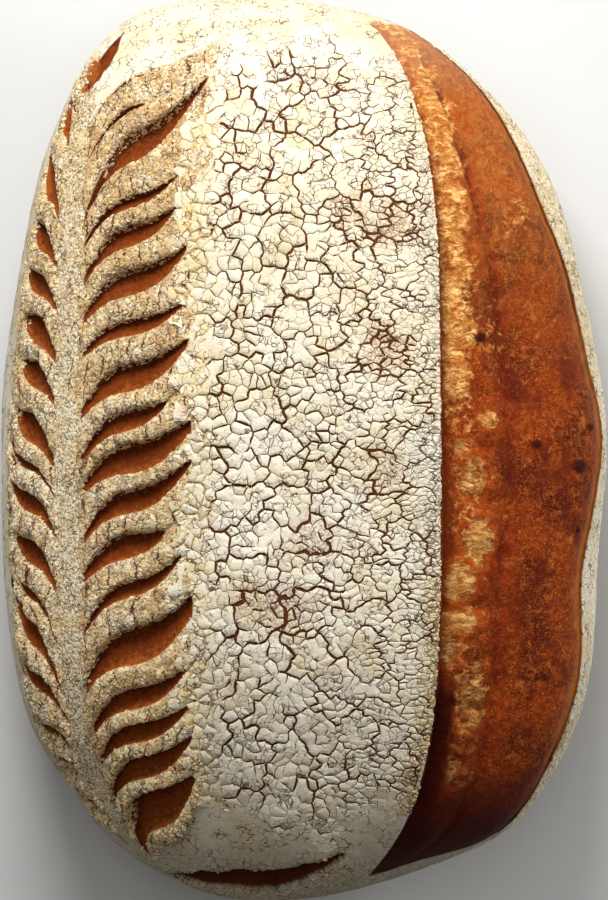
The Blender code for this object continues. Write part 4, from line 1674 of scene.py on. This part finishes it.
def cutColour(tree, grainy):
    # painted shadow under the rope above, painted light where the floor rises towards the lamps
    look = crustLook
    across = maths(tree, "ADD", mark(tree, "across"), remap(tree, grainy, 0.3, 0.7, -0.3, 0.3))
    colour = blendColour(tree, remap(tree, across, 0.05, 0.50), look["cutShadowPainted"], look["cut"])
    return blendColour(tree, remap(tree, across, 0.60, 1.15, 0.0, 0.9), colour, look["cutLitPainted"])


def ropeCracks(tree, place):
    # thin cracks across the ropes, here and there
    stray = remap(tree, noiseAt(tree, place, 700.0, 2.0), 0.3, 0.7, -0.07, 0.07)
    turn = maths(tree, "FRACT", maths(tree, "ADD", mark(tree, "turn"), stray))
    off = maths(tree, "ABSOLUTE", maths(tree, "SUBTRACT", turn, 0.5))
    some = remap(tree, noiseAt(tree, place, 160.0, 2.0), 0.40, 0.52)
    line = times(tree, remap(tree, off, 0.03, 0.07, 1.0, 0.0), some)
    return times(tree, line, remap(tree, mark(tree, "ridge"), 0.3, 0.7))


def crustMaterial():
    # bare crust in the cuts, the split and the burst, and thin flour over the rest
    material, tree, surface = newMaterial("bakedCrust")
    place = position(tree)
    look = crustLook
    burst, fleck, rungs, mottle = burstColour(tree, place)
    flour, _, speck, hair = flourColour(tree, place)
    grainy = noiseAt(tree, place, 700.0, 4.0, 0.7)

    loose = remap(tree, mark(tree, "crumbly"), 0.35, 0.8)
    low = remap(tree, mark(tree, "height"), 0.02, 0.34, 1.0, 0.0)
    low = times(tree, low, remap(tree, mottle, 0.25, 0.65, 1.2, 0.4), True)
    layers = [
        (times(tree, loose, 0.6), flourLook["golden"]),
        (times(tree, loose, remap(tree, speck, 0.40, 0.56, 0.95, 0.25)), look["ropeBase"]),
        (ropeCracks(tree, place), look["between"]),
        (hair, flourLook["crack"]),
        (low, look["under"]),
        # crust under the plates, darkened partly as painted shade in the gaps between them
        (remap(tree, mark(tree, "plated"), 0.3, 0.7), look["between"]),
        (remap(tree, mark(tree, "cut"), 0.02, 0.25), cutColour(tree, grainy)),
        (remap(tree, mark(tree, "burst"), 0.25, 0.55), burst),
        (remap(tree, mark(tree, "split"), 0.10, 0.45), look["split"]),
    ]
    colour = layered(tree, flour, layers)
    tree.links.new(colour, surface.inputs["Base Color"])

    rough = remap(tree, mark(tree, "bare"), 0.0, 1.0, 0.92, 0.72)
    rough = maths(tree, "SUBTRACT", rough, remap(tree, mark(tree, "burst"), 0.5, 1.0, 0.0, 0.16))
    tree.links.new(rough, surface.inputs["Roughness"])
    surface.inputs["Specular IOR Level"].default_value = 0.05
    fine = bumpOf(tree, speck, 0.5, 0.0004)
    cracked = bumpOf(tree, hair, 0.5, -0.0004, fine)
    bare = mark(tree, "bare")
    flecked = bumpOf(tree, times(tree, fleck, bare), 0.7, 0.0006, cracked)
    mottled = bumpOf(tree, times(tree, mottle, bare), 0.6, 0.0012, flecked)
    ladder = bumpOf(tree, rungs, 0.7, -0.0006, mottled)
    tree.links.new(ladder, surface.inputs["Normal"])
    return material


def floorMaterial():
    material, tree, surface = newMaterial("paleFloor")
    cloud = noiseAt(tree, position(tree), 8.0, 3.0)
    colour = blendColour(tree, cloud, *studio["floorColours"])
    tree.links.new(colour, surface.inputs["Base Color"])
    surface.inputs["Roughness"].default_value = 0.9
    return material


# ---- floor, light and camera ----

studio = {
    "floorSize": 6.0,
    "floorColours": ((0.60, 0.60, 0.59), (0.66, 0.66, 0.65)),
    # place, the point it shines at, its width and its power
    "lights": {
        "keyLight": ((-0.08, 0.44, 0.46), (0, 0, 0.06), 0.30, 4.5),
        "fillLight": ((-0.1, 0.05, 0.8), (0, 0, 0.05), 0.5, 1.1),
        "sideLight": ((0.6, 0.15, 0.25), (0, 0, 0.04), 0.3, 2.0),
    },
    "world": 0.13,
    "worldColour": (1.0, 0.98, 0.95, 1),
    "cameraHeight": 1.2,  # above the widest line
    "shownLength": 0.2759,  # of the loaf at its widest line, down the frame
    "sensor": 36.0,
    "centre": (0.00015, -0.0003),
}


def buildFloor():
    size = studio["floorSize"] / 2
    bm = bmesh.new()
    corners = ((-size, -size, 0), (size, -size, 0), (size, size, 0), (-size, size, 0))
    bm.faces.new([bm.verts.new(corner) for corner in corners])
    mesh = bpy.data.meshes.new("floor")
    bm.to_mesh(mesh)
    bm.free()
    floor = bpy.data.objects.new("floor", mesh)
    mesh.materials.append(floorMaterial())
    bpy.context.scene.collection.objects.link(floor)


def addArea(name, place, target, size, power):
    light = bpy.data.lights.new(name, "AREA")
    light.shape = "DISK"
    light.size = size
    light.energy = power
    lamp = bpy.data.objects.new(name, light)
    lamp.location = place
    lamp.rotation_euler = (Vector(target) - Vector(place)).to_track_quat("-Z", "Y").to_euler()
    bpy.context.scene.collection.objects.link(lamp)


def buildLights():
    for name, light in studio["lights"].items():
        addArea(name, *light)
    world = bpy.data.worlds.new("studio")
    world.use_nodes = True
    background = world.node_tree.nodes["Background"]
    background.inputs["Color"].default_value = studio["worldColour"]
    background.inputs["Strength"].default_value = studio["world"]
    bpy.context.scene.world = world


def buildCamera():
    camera = bpy.data.cameras.new("overhead")
    camera.sensor_width = studio["sensor"]
    camera.lens = studio["sensor"] * studio["cameraHeight"] / studio["shownLength"]
    camera.clip_start = 0.05
    view = bpy.data.objects.new("overhead", camera)
    view.location = (*studio["centre"], loafForm["waistHeight"] + studio["cameraHeight"])
    bpy.context.scene.collection.objects.link(view)
    bpy.context.scene.camera = view
    bpy.context.scene.view_settings.view_transform = "Standard"


# ---- put it together ----

crust, skin, crumbly = buildCrust(crustMaterial())
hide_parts("loaf")
flour = flourMaterial()
plates = buildPlates(flour)
ropeCrumbs = buildCrumbs("ropeCrumbs", flour, skin, crumbly, ("leafLeft", "leafRight", "field"), 0)
rimCrumbs = buildCrumbs("rimCrumbs", flour, skin, crumbly, ("spine", "lip", "flankRight"), 1)
for piece in (crust, plates, ropeCrumbs, rimCrumbs):
    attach(piece, "root")

buildFloor()
buildLights()
buildCamera()
print("floor, lights and camera set")
